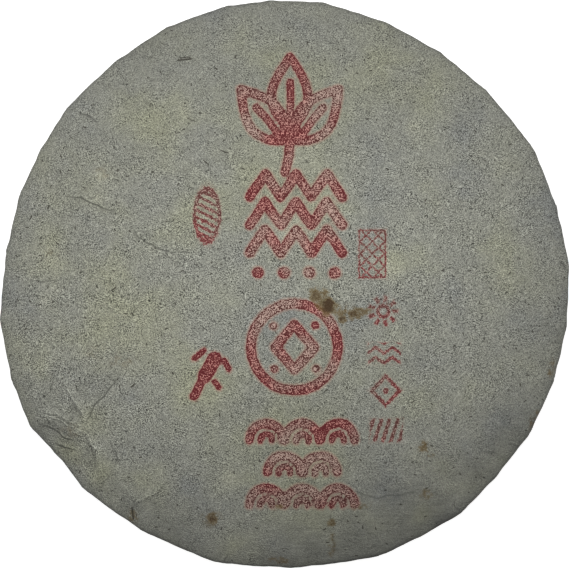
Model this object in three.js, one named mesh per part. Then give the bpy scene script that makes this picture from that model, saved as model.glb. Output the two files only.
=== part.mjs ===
// A pressed pu erh tea cake, shut in its cotton paper wrapper and lying on its gathered side.
// The paper is drawn tight over the domed face, turns under at the rim, and is folded pleat on
// pleat towards the hollow in the middle of the back, where its ends are tucked in.
// Millimetres, +Z up, the origin on the surface the cake lies on, under the middle of the rim.
import * as THREE from 'three';
import { mergeVertices } from 'three/addons/utils/BufferGeometryUtils.js';

// The pressed cake, wrapped
const RIM_RADIUS = 99.9;
const FACE_HEIGHT = 26;
const RIM_HEIGHT = 10.5;
const FACE_FLATNESS = 0.62; // share of the radius that the crown stays nearly flat
const SHOULDER_HEIGHT = 17; // where the face's curve is aimed before it drops to the rim
const FOOT_RADIUS = 84; // outer edge of the ring that the cake rests on
const HOLLOW_RADIUS = 31; // mouth of the hollow in the back
const HOLLOW_DEPTH = 9;
const HOLLOW_LIP = 0.7; // share of the mouth's radius at which its wall is aimed
const HOLLOW_FLOOR = 0.5; // share of the mouth's radius that is nearly level inside

// Slow unevenness of the face, as [height, waves across the cake, direction in degrees, shift]
const FACE_SWELLS = [
  [0.35, 1.3, 20, 0.4],
  [0.28, 2.1, 115, 1.9],
  [0.16, 3.7, 70, 0.8],
];
const SWELL_FADE = 4; // how late the swells die away towards the rim, as a power of radius

// Where the wrapper's pleats start at the rim: angle in degrees, and reach past the mean radius
const PLEATS = [
  [5, 0.6], [17, 0.0], [29, 0.5], [45, -0.7], [57, -0.6], [69, 0.0],
  [83, 1.45], [93, 1.3], [102, 1.4], [115, 0.7], [127, -0.5], [141, -0.4],
  [151, -1.1], [160.5, -0.9], [173, -1.0], [187, 1.2], [199, 1.7], [209, 2.7],
  [216, -0.4], [225, 0.6], [240, -0.6], [256, 0.1], [272, -1.1], [289.5, 0.5],
  [308.5, 1.15], [318, 0.1], [329, 0.7], [341, 0.6], [352, 0.4],
];
const TAUTNESS = 0.6; // 0 keeps the rim round between two pleats, 1 pulls it straight
const REACH_FADE = 5; // how fast a pleat's reach dies away from the rim, as a power of radius

// The folds on the back
const FOLD_SWEEP = 80; // degrees that a fold swings round between the rim and the middle
const SWEEP_FADE = 3; // how late it swings, as a power of the way in from the rim
const FOLD_STEP = 1.5; // height of a fold's edge above the pleat beside it
const FOLD_VARIETY = 0.3; // share by which one fold's step differs from the next
const VARIETY_TURN = 2.4; // the golden angle in radians, so that no two neighbours are alike
const FOLD_SLOPE = 0.5; // share of a pleat's width that slopes up before it lies flush
const FOLD_START = RIM_HEIGHT + 1.5; // height on the side at which the folds begin
const RIM_STEP = 0.12; // share of that step that a fold already has at the rim
const FOLD_FULL_RADIUS = 70; // radius at which a fold's step has grown to its full height
const FOLD_END_RADIUS = 14.4; // radius inside which the steps die away into the knot
const PUCKER_HEIGHT = 0.45; // ridge that each pleat raises over the shoulder
const PUCKER_WIDTH = 0.25; // share of a pleat's width that the ridge takes on each side
const PUCKER_REACH = 0.8; // share of the radius at which that ridge has died away

// The tucked ends in the hollow
const KNOT_RADIUS = 9;
const KNOT_HEIGHT = 3;

// Facets
const COLUMNS_PER_PLEAT = 5;
const RINGS = 38;

const radians = THREE.MathUtils.degToRad;
const smooth = THREE.MathUtils.smoothstep;

// The section from the middle of the face, over the rim and under it, to the middle of the hollow
function cakeSection() {
  const section = new THREE.Path();
  section.moveTo(0, FACE_HEIGHT);
  section.bezierCurveTo(
    RIM_RADIUS * FACE_FLATNESS, FACE_HEIGHT, RIM_RADIUS, SHOULDER_HEIGHT, RIM_RADIUS, RIM_HEIGHT,
  );
  section.absellipse(
    FOOT_RADIUS, RIM_HEIGHT, RIM_RADIUS - FOOT_RADIUS, RIM_HEIGHT, 0, -Math.PI / 2, true,
  );
  section.lineTo(HOLLOW_RADIUS, 0);
  section.bezierCurveTo(
    HOLLOW_RADIUS * HOLLOW_LIP, 0, HOLLOW_RADIUS * HOLLOW_FLOOR, HOLLOW_DEPTH, 0, HOLLOW_DEPTH,
  );
  return section;
}

// How far the rim stands past the mean radius, a share of the way from one pleat to the next
function rimReach(pleat, share) {
  const { reach, next, span } = pleat;
  const sag = RIM_RADIUS * (1 - Math.cos(span / 2));
  return reach + (next - reach) * share - TAUTNESS * sag * 4 * share * (1 - share);
}

// The pleats with what follows each, in radians
function pleatList() {
  return PLEATS.map(([angle, reach], index) => {
    const [nextAngle, next] = PLEATS[(index + 1) % PLEATS.length];
    const span = radians((nextAngle - angle + 360) % 360);
    const step = FOLD_STEP * (1 + FOLD_VARIETY * Math.sin(index * VARIETY_TURN));
    return { start: radians(angle), span, reach, next, step };
  });
}

// Height of the face's swells at a point of the plan
function swell(x, y) {
  return FACE_SWELLS.reduce((height, [size, waves, direction, shift]) => {
    const along = x * Math.cos(radians(direction)) + y * Math.sin(radians(direction));
    return height + size * Math.sin((along / RIM_RADIUS) * waves * Math.PI + shift);
  }, 0);
}

// Ridge that a pleat raises along both of its edges, and only over the shoulder and the rim
function pucker(share, radius, isFace) {
  const ridge = Math.max(0, 1 - Math.min(share, 1 - share) / PUCKER_WIDTH);
  const reach = isFace ? smooth(radius / RIM_RADIUS, PUCKER_REACH, 1)
    : smooth(radius, FOOT_RADIUS, RIM_RADIUS);
  return PUCKER_HEIGHT * ridge * reach;
}

// How far the paper lies behind the fold beside it: a pleat starts one step back and rises flush
function foldRecess(pleat, share, radius) {
  const grown = 1 - (1 - RIM_STEP) * smooth(radius, FOLD_FULL_RADIUS, RIM_RADIUS);
  const ended = smooth(radius, 0, FOLD_END_RADIUS);
  return pleat.step * grown * ended * Math.max(0, 1 - share / FOLD_SLOPE);
}

// One point of the paper: a ring of the section at one column of one pleat
function paperPoint(section, pleat, column, fraction) {
  const { x: radius, y: height } = section.getPoint(fraction);
  const tangent = section.getTangent(fraction);
  const isFace = tangent.y <= 0 && height >= RIM_HEIGHT;
  const outward = new THREE.Vector2(-tangent.y, tangent.x);
  const inRim = radius / RIM_RADIUS;

  // Columns stand evenly on the face and close up into a fold's edge underneath
  const folded = isFace ? smooth(FOLD_START - height, 0, FOLD_START - RIM_HEIGHT) : 1;
  const even = column / COLUMNS_PER_PLEAT;
  const gathered = column / (COLUMNS_PER_PLEAT - 1);
  const share = THREE.MathUtils.lerp(even, gathered, folded);

  const lift = pucker(share, radius, isFace) - folded * foldRecess(pleat, share, radius);
  const sweep = isFace ? 0 : radians(FOLD_SWEEP) * (1 - inRim) ** SWEEP_FADE;
  const angle = pleat.start + pleat.span * share + sweep;
  const across = radius + outward.x * lift + rimReach(pleat, share) * inRim ** REACH_FADE;
  const x = across * Math.cos(angle);
  const y = across * Math.sin(angle);

  const swells = isFace ? swell(x, y) * (1 - inRim ** SWELL_FADE) : 0;
  const knot = isFace ? 0 : KNOT_HEIGHT * (1 - smooth(radius, 0, KNOT_RADIUS));
  return [x, y, height + outward.y * lift + swells - knot];
}

// The shut pack as one closed solid, a sphere's grid of rings and columns drawn over the section
function wrappedCake() {
  const pleats = pleatList();
  const columns = pleats.length * COLUMNS_PER_PLEAT;
  const section = cakeSection();
  const geometry = new THREE.SphereGeometry(RIM_RADIUS, columns, RINGS);
  const position = geometry.getAttribute('position');
  for (let ring = 0; ring <= RINGS; ring += 1) {
    for (let turn = 0; turn <= columns; turn += 1) {
      const count = turn % columns;
      const pleat = pleats[Math.floor(count / COLUMNS_PER_PLEAT)];
      const point = paperPoint(section, pleat, count % COLUMNS_PER_PLEAT, ring / RINGS);
      position.setXYZ(ring * (columns + 1) + turn, ...point);
    }
  }
  geometry.deleteAttribute('normal');
  geometry.deleteAttribute('uv');
  const closed = mergeVertices(geometry, 1e-4);
  closed.computeBoundingBox();
  const middle = closed.boundingBox.getCenter(new THREE.Vector3());
  closed.translate(-middle.x, -middle.y, -closed.boundingBox.min.z);
  closed.computeVertexNormals();
  return closed;
}

const cottonPaper = new THREE.MeshStandardMaterial({
  color: 0x84857a,
  roughness: 0.92,
  metalness: 0,
});

const teaCake = new THREE.Group();
const wrapper = new THREE.Mesh(wrappedCake(), cottonPaper);
wrapper.name = 'wrapped_tea_cake';
teaCake.add(wrapper);

export default teaCake;
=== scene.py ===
"""Looks of a pressed pu erh tea cake, shut in its stamped cotton paper wrapper.

The cake lies on its gathered back with the domed face up. One closed piece of paper takes the
place of the CAD solid, from the same sizes, with finer folds, creases and the lumps of the leaves
under it. A column of plain figures and a few small seals are stamped on it in red, stains and
fibres lie in the paper, and the camera looks straight down on it over a pale floor.
"""

import logging
import math
from collections.abc import Callable, Sequence
from dataclasses import dataclass, field
from enum import Enum

import bmesh
import bpy
import numpy as np
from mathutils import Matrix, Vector, noise


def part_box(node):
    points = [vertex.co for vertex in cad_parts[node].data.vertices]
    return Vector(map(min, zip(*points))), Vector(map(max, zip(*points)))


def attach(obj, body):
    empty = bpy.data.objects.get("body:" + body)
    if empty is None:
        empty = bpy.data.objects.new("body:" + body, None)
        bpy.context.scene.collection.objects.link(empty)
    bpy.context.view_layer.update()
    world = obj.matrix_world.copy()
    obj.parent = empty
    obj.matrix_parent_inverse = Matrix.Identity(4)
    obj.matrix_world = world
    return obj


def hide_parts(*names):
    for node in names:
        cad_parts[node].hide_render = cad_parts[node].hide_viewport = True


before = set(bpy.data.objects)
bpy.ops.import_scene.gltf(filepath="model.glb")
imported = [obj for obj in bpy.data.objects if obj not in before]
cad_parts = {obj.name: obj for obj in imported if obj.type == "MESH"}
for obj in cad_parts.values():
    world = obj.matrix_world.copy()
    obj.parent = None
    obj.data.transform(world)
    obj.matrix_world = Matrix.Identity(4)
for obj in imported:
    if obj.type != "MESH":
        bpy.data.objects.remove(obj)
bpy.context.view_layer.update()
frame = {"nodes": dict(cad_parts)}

LOG = logging.getLogger("tea_cake")

NODE = "wrapped_tea_cake"
BODY = "root"

MM = 0.001
FULL_TURN = 2 * math.pi
CURVE_SAMPLES = 400
SIDE_SAMPLES = 200

Point = tuple[float, float]
Patch = tuple[float, float, float, float]
Colour = tuple[float, float, float, float]
Feed = bpy.types.NodeSocket | float | tuple[float, ...]


def smooth(value: np.ndarray, low: float, high: float) -> np.ndarray:
    """Rise softly from 0 to 1 between two values.

    Args:
        value: The numbers to judge.
        low: Where the rise starts.
        high: Where it ends.

    Returns:
        One share for each number, from 0 to 1.
    """
    share = np.clip((value - low) / (high - low), 0.0, 1.0)
    return share * share * (3.0 - 2.0 * share)


def roughness_field(places: np.ndarray, size: float, shift: float) -> np.ndarray:
    """Sample even, seedless noise.

    Args:
        places: One row of three coordinates for each sample.
        size: Length over which the noise changes, in the places' unit.
        shift: Moves the pattern, so that two fields differ.

    Returns:
        One number for each row, from about -1 to 1.
    """
    rows = (places / size + shift).tolist()
    return np.fromiter((noise.noise(row) for row in rows), float, len(rows))


def on_plane(places: np.ndarray) -> np.ndarray:
    """Give rows of two coordinates a third one, 0."""
    return np.column_stack((places, np.zeros(len(places))))


def linear(red: int, green: int, blue: int) -> Colour:
    """Turn a screen colour, as read off a picture, into the renderer's own.

    Args:
        red: Red from 0 to 255.
        green: Green from 0 to 255.
        blue: Blue from 0 to 255.

    Returns:
        The colour in linear light, with full alpha.
    """
    channels = (red / 255, green / 255, blue / 255)
    lit = [c / 12.92 if c <= 0.04045 else ((c + 0.055) / 1.055) ** 2.4 for c in channels]
    return (lit[0], lit[1], lit[2], 1.0)


@dataclass(frozen=True)
class Section:
    """Evenly spaced rings from the middle of the face, round the rim, to the middle of the back.

    Each array has one entry for each ring.
    """

    radius: np.ndarray
    height: np.ndarray
    outward: np.ndarray
    on_face: np.ndarray


@dataclass(frozen=True)
class CakeForm:
    """Sizes of the wrapped cake, in metres, shares and degrees."""

    rim_radius: float = 99.9 * MM
    face_height: float = 26 * MM
    rim_height: float = 10.5 * MM
    face_flatness: float = 0.62
    shoulder_height: float = 17 * MM
    foot_radius: float = 84 * MM
    hollow_radius: float = 31 * MM
    hollow_depth: float = 9 * MM
    hollow_lip: float = 0.7
    hollow_floor: float = 0.5
    knot_radius: float = 9 * MM
    knot_height: float = 3 * MM
    # Slow unevenness of the face: height, waves across the cake, direction and shift
    swells: tuple[tuple[float, float, float, float], ...] = (
        (0.35 * MM, 1.3, 20, 0.4),
        (0.28 * MM, 2.1, 115, 1.9),
        (0.16 * MM, 3.7, 70, 0.8),
    )
    swell_fade: float = 4.0
    # Where the pleats start at the rim: angle in degrees, and reach past the rim radius in mm
    pleats: tuple[Point, ...] = (
        (5, 0.6), (17, 0.0), (29, 0.5), (45, -0.7), (57, -0.6), (69, 0.0),
        (83, 1.45), (93, 1.3), (102, 1.4), (115, 0.7), (127, -0.5), (141, -0.4),
        (151, -1.1), (160.5, -0.9), (173, -1.0), (187, 1.2), (199, 1.7), (209, 2.7),
        (216, -0.4), (225, 0.6), (240, -0.6), (256, 0.1), (272, -1.1), (289.5, 0.5),
        (308.5, 1.15), (318, 0.1), (329, 0.7), (341, 0.6), (352, 0.4),
    )
    tautness: float = 0.3
    corner_round: float = 5.5
    rim_samples: int = 1440
    reach_fade: float = 5.0
    fold_sweep: float = 80.0
    sweep_fade: float = 3.0
    fold_step: float = 1.5 * MM
    fold_variety: float = 0.3
    variety_turn: float = 2.4
    fold_slope: float = 0.5
    fold_start: float = 12 * MM
    rim_step: float = 0.12
    fold_full_radius: float = 70 * MM
    fold_end_radius: float = 14.4 * MM
    pucker_height: float = 0.45 * MM
    pucker_width: float = 0.25
    pucker_reach: float = 0.8

    def section(self, rings: int) -> Section:
        """Walk the cake's profile in even steps.

        Args:
            rings: Number of steps from the middle of the face to the middle of the back.

        Returns:
            The profile, with one more ring than there are steps.
        """
        hollow = self.hollow_radius
        face = self._bezier(
            (0, self.face_height),
            (self.rim_radius * self.face_flatness, self.face_height),
            (self.rim_radius, self.shoulder_height),
            (self.rim_radius, self.rim_height),
        )
        turn = np.linspace(0, math.pi / 2, SIDE_SAMPLES)[1:]
        side = np.column_stack((
            self.foot_radius + (self.rim_radius - self.foot_radius) * np.cos(turn),
            self.rim_height * (1 - np.sin(turn)),
        ))
        back = self._bezier(
            (hollow, 0),
            (hollow * self.hollow_lip, 0),
            (hollow * self.hollow_floor, self.hollow_depth),
            (0, self.hollow_depth),
        )
        path = np.vstack((face, side, back))
        length = np.concatenate(([0], np.cumsum(np.hypot(*np.diff(path, axis=0).T))))
        even = np.linspace(0, length[-1], rings + 1)
        radius = np.interp(even, length, path[:, 0])
        height = np.interp(even, length, path[:, 1])
        along = np.gradient(np.column_stack((radius, height)), axis=0)
        along /= np.hypot(*along.T)[:, None]
        outward = np.column_stack((-along[:, 1], along[:, 0]))
        return Section(radius, height, outward, even <= length[len(face) - 1])

    @staticmethod
    def _bezier(*corners: Point) -> np.ndarray:
        """Follow the cubic curve that four corners give.

        Args:
            corners: The curve's start, the two points that pull it, and its end.

        Returns:
            Points along the curve, one row each.
        """
        share = np.linspace(0, 1, CURVE_SAMPLES)[:, None]
        a, b, c, d = (np.array(corner, float) for corner in corners)
        rest = 1 - share
        return rest**3 * a + 3 * rest**2 * share * b + 3 * rest * share**2 * c + share**3 * d

    def swell(self, x: np.ndarray, y: np.ndarray) -> np.ndarray:
        """Height of the face's slow swells.

        Args:
            x: Where in the plan, along X.
            y: Where in the plan, along Y.

        Returns:
            One height for each place.
        """
        height = np.zeros_like(x)
        for size, waves, direction, shift in self.swells:
            turn = math.radians(direction)
            along = x * math.cos(turn) + y * math.sin(turn)
            height += size * np.sin(along / self.rim_radius * waves * math.pi + shift)
        return height

    def pleat_starts(self) -> np.ndarray:
        """The pleats' angles in radians."""
        return np.radians([angle for angle, _ in self.pleats])

    def pleat_spans(self) -> np.ndarray:
        """How far each pleat runs round the rim, in radians."""
        starts = self.pleat_starts()
        return (np.roll(starts, -1) - starts) % FULL_TURN

    def rim_reach(self, angle: np.ndarray) -> np.ndarray:
        """How far the rim stands past its mean radius, with its corners rounded off.

        Args:
            angle: Directions from the middle, in radians.

        Returns:
            One reach for each direction, in metres.
        """
        turns = np.linspace(0, FULL_TURN, self.rim_samples, endpoint=False)
        starts, spans = self.pleat_starts(), self.pleat_spans()
        pleat = (np.searchsorted(starts, turns, side="right") - 1) % len(starts)
        share = (turns - starts[pleat]) % FULL_TURN / spans[pleat]
        reach = np.array([reach for _, reach in self.pleats]) * MM
        first, last = reach[pleat], np.roll(reach, -1)[pleat]
        sag = self.rim_radius * (1 - np.cos(spans[pleat] / 2))
        taut = first + (last - first) * share - self.tautness * sag * 4 * share * (1 - share)
        window = np.hanning(round(self.corner_round / 360 * self.rim_samples) * 2 + 1)
        wrapped = np.pad(taut, len(window) // 2, mode="wrap")
        rounded = np.convolve(wrapped, window / window.sum(), mode="valid")
        return np.interp(angle % FULL_TURN, turns, rounded, period=FULL_TURN)

    def fold_steps(self, pleat: np.ndarray) -> np.ndarray:
        """Height of each pleat's folded edge above the pleat beside it."""
        return self.fold_step * (1 + self.fold_variety * np.sin(pleat * self.variety_turn))

    def fold_growth(self, radius: np.ndarray) -> np.ndarray:
        """Share of its full height that a fold's edge has at a radius."""
        grown = 1 - (1 - self.rim_step) * smooth(radius, self.fold_full_radius, self.rim_radius)
        return grown * smooth(radius, 0, self.fold_end_radius)


class CreaseKind(Enum):
    """Which way a crease in the paper stands."""

    RIDGE = 1.0
    VALLEY = -1.0


@dataclass(frozen=True)
class Crease:
    """One crease that the paper got in handling, as a line through points in millimetres."""

    kind: CreaseKind
    height: float
    points: tuple[Point, ...]
    width: float = 1.7


@dataclass(frozen=True)
class Stroke:
    """One round-ended stroke, as a line through points in millimetres."""

    half_width: float
    points: tuple[Point, ...]

    def moved(self, x: float, y: float) -> "Stroke":
        """The same stroke at another place."""
        return Stroke(self.half_width, tuple((px + x, py + y) for px, py in self.points))


def line_pieces(points: Sequence[Point]) -> list[tuple[Point, Point]]:
    """The straight pieces of a line through points."""
    return list(zip(points, points[1:]))


def piece_distance(places: np.ndarray, start: Point, end: Point) -> tuple[np.ndarray, np.ndarray]:
    """Measure how far places lie from one straight piece of a line.

    Args:
        places: Rows of two coordinates.
        start: One end of the piece.
        end: Its other end.

    Returns:
        The signed distances, positive to the left of the piece, and how far along it the nearest
        point is, from 0 to 1.
    """
    along = np.subtract(end, start)
    off = places - np.array(start, float)
    share = np.clip(off @ along / max(float(along @ along), 1e-9), 0, 1)
    gap = off - share[:, None] * along
    side = np.where(along[0] * off[:, 1] - along[1] * off[:, 0] >= 0, 1.0, -1.0)
    return np.hypot(gap[:, 0], gap[:, 1]) * side, share


def arc(x: float, y: float, radius: float, start: float, end: float,
        step: float = 15) -> tuple[Point, ...]:
    """Points along a circle's arc.

    Args:
        x: Middle of the circle, along X.
        y: Middle of the circle, along Y.
        radius: Radius of the circle.
        start: Angle of the first point, in degrees.
        end: Angle of the last one.
        step: About the angle from one point to the next.

    Returns:
        The points.
    """
    count = max(2, round(abs(end - start) / step) + 1)
    turns = np.radians(np.linspace(start, end, count))
    return tuple((x + radius * math.cos(t), y + radius * math.sin(t)) for t in turns)


def leaf(base: Point, tip: Point, bulge: float, steps: int = 10,
         belly: float = 0.8) -> tuple[Point, ...]:
    """Points round the closed outline of a plain leaf.

    Args:
        base: Where the leaf starts.
        tip: Where it ends.
        bulge: Half of its width.
        steps: Number of steps along each edge.
        belly: Where it is widest, nearer to the base below 1 and to the tip above 1.

    Returns:
        The points, from the base to the tip and back.
    """
    foot, top = Vector(base), Vector(tip)
    across = (top - foot).orthogonal().normalized()
    shares = [step / steps for step in range(steps + 1)]
    right = [foot.lerp(top, s) + across * bulge * math.sin(math.pi * s**belly) for s in shares]
    left = [foot.lerp(top, s) - across * bulge * math.sin(math.pi * s**belly) for s in shares[::-1]]
    return tuple((point.x, point.y) for point in right + left)


class Motif(Enum):
    """The plain figures of the printed column."""

    SPRIG = "sprig"
    ZIGZAGS = "zigzags"
    RINGED_LOZENGE = "ringed lozenge"
    SCALLOPS = "scallops"


@dataclass(frozen=True)
class PrintedFace:
    """What is stamped on the face in broad strokes, in millimetres from the middle."""

    stroke: float = 1.7
    outline_share: float = 0.94
    vein_share: float = 0.8
    column: tuple[tuple[Motif, float, float], ...] = (
        (Motif.SPRIG, 1.8, 59.6),
        (Motif.ZIGZAGS, 3.9, 21.4),
        (Motif.RINGED_LOZENGE, 3.3, -20.6),
        (Motif.SCALLOPS, 6.0, -60.0),
    )
    # The sprig's leaves, each with its base, its tip and its half width, and its plain lines
    sprig_leaves: tuple[tuple[Point, Point, float], ...] = (
        ((0, -4), (0, 20.5), 6.4),
        ((-2.6, -9), (-16.8, 9), 5.8),
        ((2.6, -9), (16.8, 9), 5.8),
    )
    sprig_stalk: tuple[Point, ...] = ((0, -9), (-0.3, -14), (-1.8, -20))
    sprig_veins: tuple[tuple[Point, ...], ...] = (
        ((0, -9), (0, -4), (0.3, 4), (0, 11.5)),
        ((-2.6, -9), (-8.2, -1.0), (-11.6, 2.6)),
        ((2.6, -9), (8.2, -1.0), (11.6, 2.6)),
    )
    zigzag_rows: tuple[float, ...] = (13.6, 4.0, -5.6)
    zigzag_turns: int = 7
    zigzag_step: float = 5.3
    zigzag_rise: float = 4.0
    dot_row: tuple[Point, ...] = ((-13.2, -16.4), (-4.4, -16.4), (4.4, -16.4), (13.2, -16.4))
    dot_radius: float = 2.0
    ring_radius: float = 15.0
    lozenge: Point = (6.7, 7.8)
    ring_dots: Point = (7.2, 7.4)
    ring_dot_radius: float = 1.4
    # The rows of scallops: how many, and how high
    scallop_rows: tuple[tuple[int, float], ...] = ((3, 7.2), (2, -4.2), (3, -15.6))
    scallop_pitch: float = 12.4
    # The large scallop and the small one: half width, radius, first and last angle
    scallop_pair: tuple[tuple[float, float, float, float], ...] = (
        (1.55, 5.9, 0, 180),
        (1.1, 2.1, -10, 190),
    )
    dab: tuple[Point, ...] = ((-24.2, -24.6), (-27.4, -30.5), (-31.4, -37.6))
    dab_width: float = 2.5
    dab_tail_share: float = 0.6
    splash_share: float = 0.4
    dab_splashes: tuple[tuple[Point, Point], ...] = (
        ((-31.2, -24.6), (-28.0, -21.8)),
        ((-21.0, -25.2), (-19.2, -28.4)),
        ((-24.2, -32.6), (-22.8, -34.6)),
    )
    wobble: float = 0.35
    wobble_size: float = 7.0
    wobble_shifts: Point = (3.7, 19.1)
    far: float = 20.0
    # How fully the ink covers: its mean, how much that changes, and over what length
    mean_solidity: float = 0.46
    solidity_swing: float = 0.55
    solidity_size: float = 10.0
    dab_solidity: float = 0.85
    dab_zone: Point = (11.0, 15.0)

    def sprig(self) -> list[Stroke]:
        """Draw two leaves and a bud on a short stalk.

        Returns:
            The strokes, from the figure's own middle.
        """
        outlines = [leaf(base, tip, bulge) for base, tip, bulge in self.sprig_leaves]
        outlines.append(self.sprig_stalk)
        return [
            *(Stroke(self.stroke * self.outline_share, outline) for outline in outlines),
            *(Stroke(self.stroke * self.vein_share, vein) for vein in self.sprig_veins),
        ]

    def zigzags(self) -> list[Stroke]:
        """Draw three rows of zigzag over four dots.

        Returns:
            The strokes, from the figure's own middle.
        """
        turns = range(self.zigzag_turns)
        across = [(turn - self.zigzag_turns // 2) * self.zigzag_step for turn in turns]
        rises = [self.zigzag_rise if turn % 2 else -self.zigzag_rise for turn in turns]
        rows = [
            tuple((x, height + rise) for x, rise in zip(across, rises))
            for height in self.zigzag_rows
        ]
        dots = [self._dot(x, y, self.dot_radius) for x, y in self.dot_row]
        return [Stroke(self.stroke, row) for row in rows] + dots

    def ringed_lozenge(self) -> list[Stroke]:
        """Draw a ring round a lozenge, with four dots between them.

        Returns:
            The strokes, from the figure's own middle.
        """
        wide, tall = self.lozenge
        side, rise = self.ring_dots
        return [
            Stroke(self.stroke, arc(0, 0, self.ring_radius, 90, 450)),
            Stroke(self.stroke, ((0, tall), (wide, 0), (0, -tall), (-wide, 0), (0, tall))),
            *(self._dot(x, y, self.ring_dot_radius) for x in (-side, side) for y in (-rise, rise)),
        ]

    def scallops(self) -> list[Stroke]:
        """Draw three rows of waves, each a small scallop under a large one.

        Returns:
            The strokes, from the figure's own middle.
        """
        strokes = []
        for count, height in self.scallop_rows:
            for place in range(count):
                x = (place - (count - 1) / 2) * self.scallop_pitch
                for half_width, radius, start, end in self.scallop_pair:
                    strokes.append(Stroke(half_width, arc(x, height, radius, start, end)))
        return strokes

    @staticmethod
    def _dot(x: float, y: float, radius: float, length: float = 0.1) -> Stroke:
        """A round dot, as a stroke of next to no length."""
        return Stroke(radius, ((x, y), (x + length, y)))

    def strokes(self) -> list[Stroke]:
        """Set every broad stroke in its place.

        Returns:
            The strokes of the whole column and of the dab.
        """
        makers: dict[Motif, Callable[[], list[Stroke]]] = {
            Motif.SPRIG: self.sprig,
            Motif.ZIGZAGS: self.zigzags,
            Motif.RINGED_LOZENGE: self.ringed_lozenge,
            Motif.SCALLOPS: self.scallops,
        }
        placed = [one.moved(x, y) for motif, x, y in self.column for one in makers[motif]()]
        return placed + self.dab_strokes()

    def dab_strokes(self) -> list[Stroke]:
        """Draw the slanted dab beside the column, with its splashes.

        Returns:
            The strokes in their places.
        """
        return [
            Stroke(self.dab_width, self.dab[:2]),
            Stroke(self.dab_width * self.dab_tail_share, self.dab),
            *(Stroke(self.dab_width * self.splash_share, splash) for splash in self.dab_splashes),
        ]

    def distance(self, places: np.ndarray) -> np.ndarray:
        """Measure how far places lie outside the nearest broad stroke.

        Args:
            places: Rows of two coordinates in millimetres.

        Returns:
            The distances in millimetres, negative inside a stroke.
        """
        flat = on_plane(places)
        shake = [roughness_field(flat, self.wobble_size, shift) for shift in self.wobble_shifts]
        shaken = places + self.wobble * np.column_stack(shake)
        nearest = np.full(len(places), self.far)
        for one in self.strokes():
            for start, end in line_pieces(one.points):
                gap = np.abs(piece_distance(shaken, start, end)[0]) - one.half_width
                nearest = np.minimum(nearest, gap)
        return nearest

    def solidity(self, places: np.ndarray) -> np.ndarray:
        """How fully the ink covers, high on the dab and uneven on the column.

        Args:
            places: Rows of two coordinates in millimetres.

        Returns:
            Shares from 0 to 1.
        """
        drift = roughness_field(on_plane(places), self.solidity_size, shift=5.3)
        patchy = self.mean_solidity + self.solidity_swing * drift
        middle = np.mean(self.dab, axis=0)
        on_dab = 1 - smooth(np.hypot(*(places - middle).T), *self.dab_zone)
        return np.clip(np.maximum(patchy, on_dab * self.dab_solidity), 0, 1)


@dataclass(frozen=True)
class Spot:
    """One stain: its middle, half sizes, turn in degrees and strength, in millimetres."""

    x: float
    y: float
    long: float
    wide: float
    turn: float
    strength: float


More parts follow.
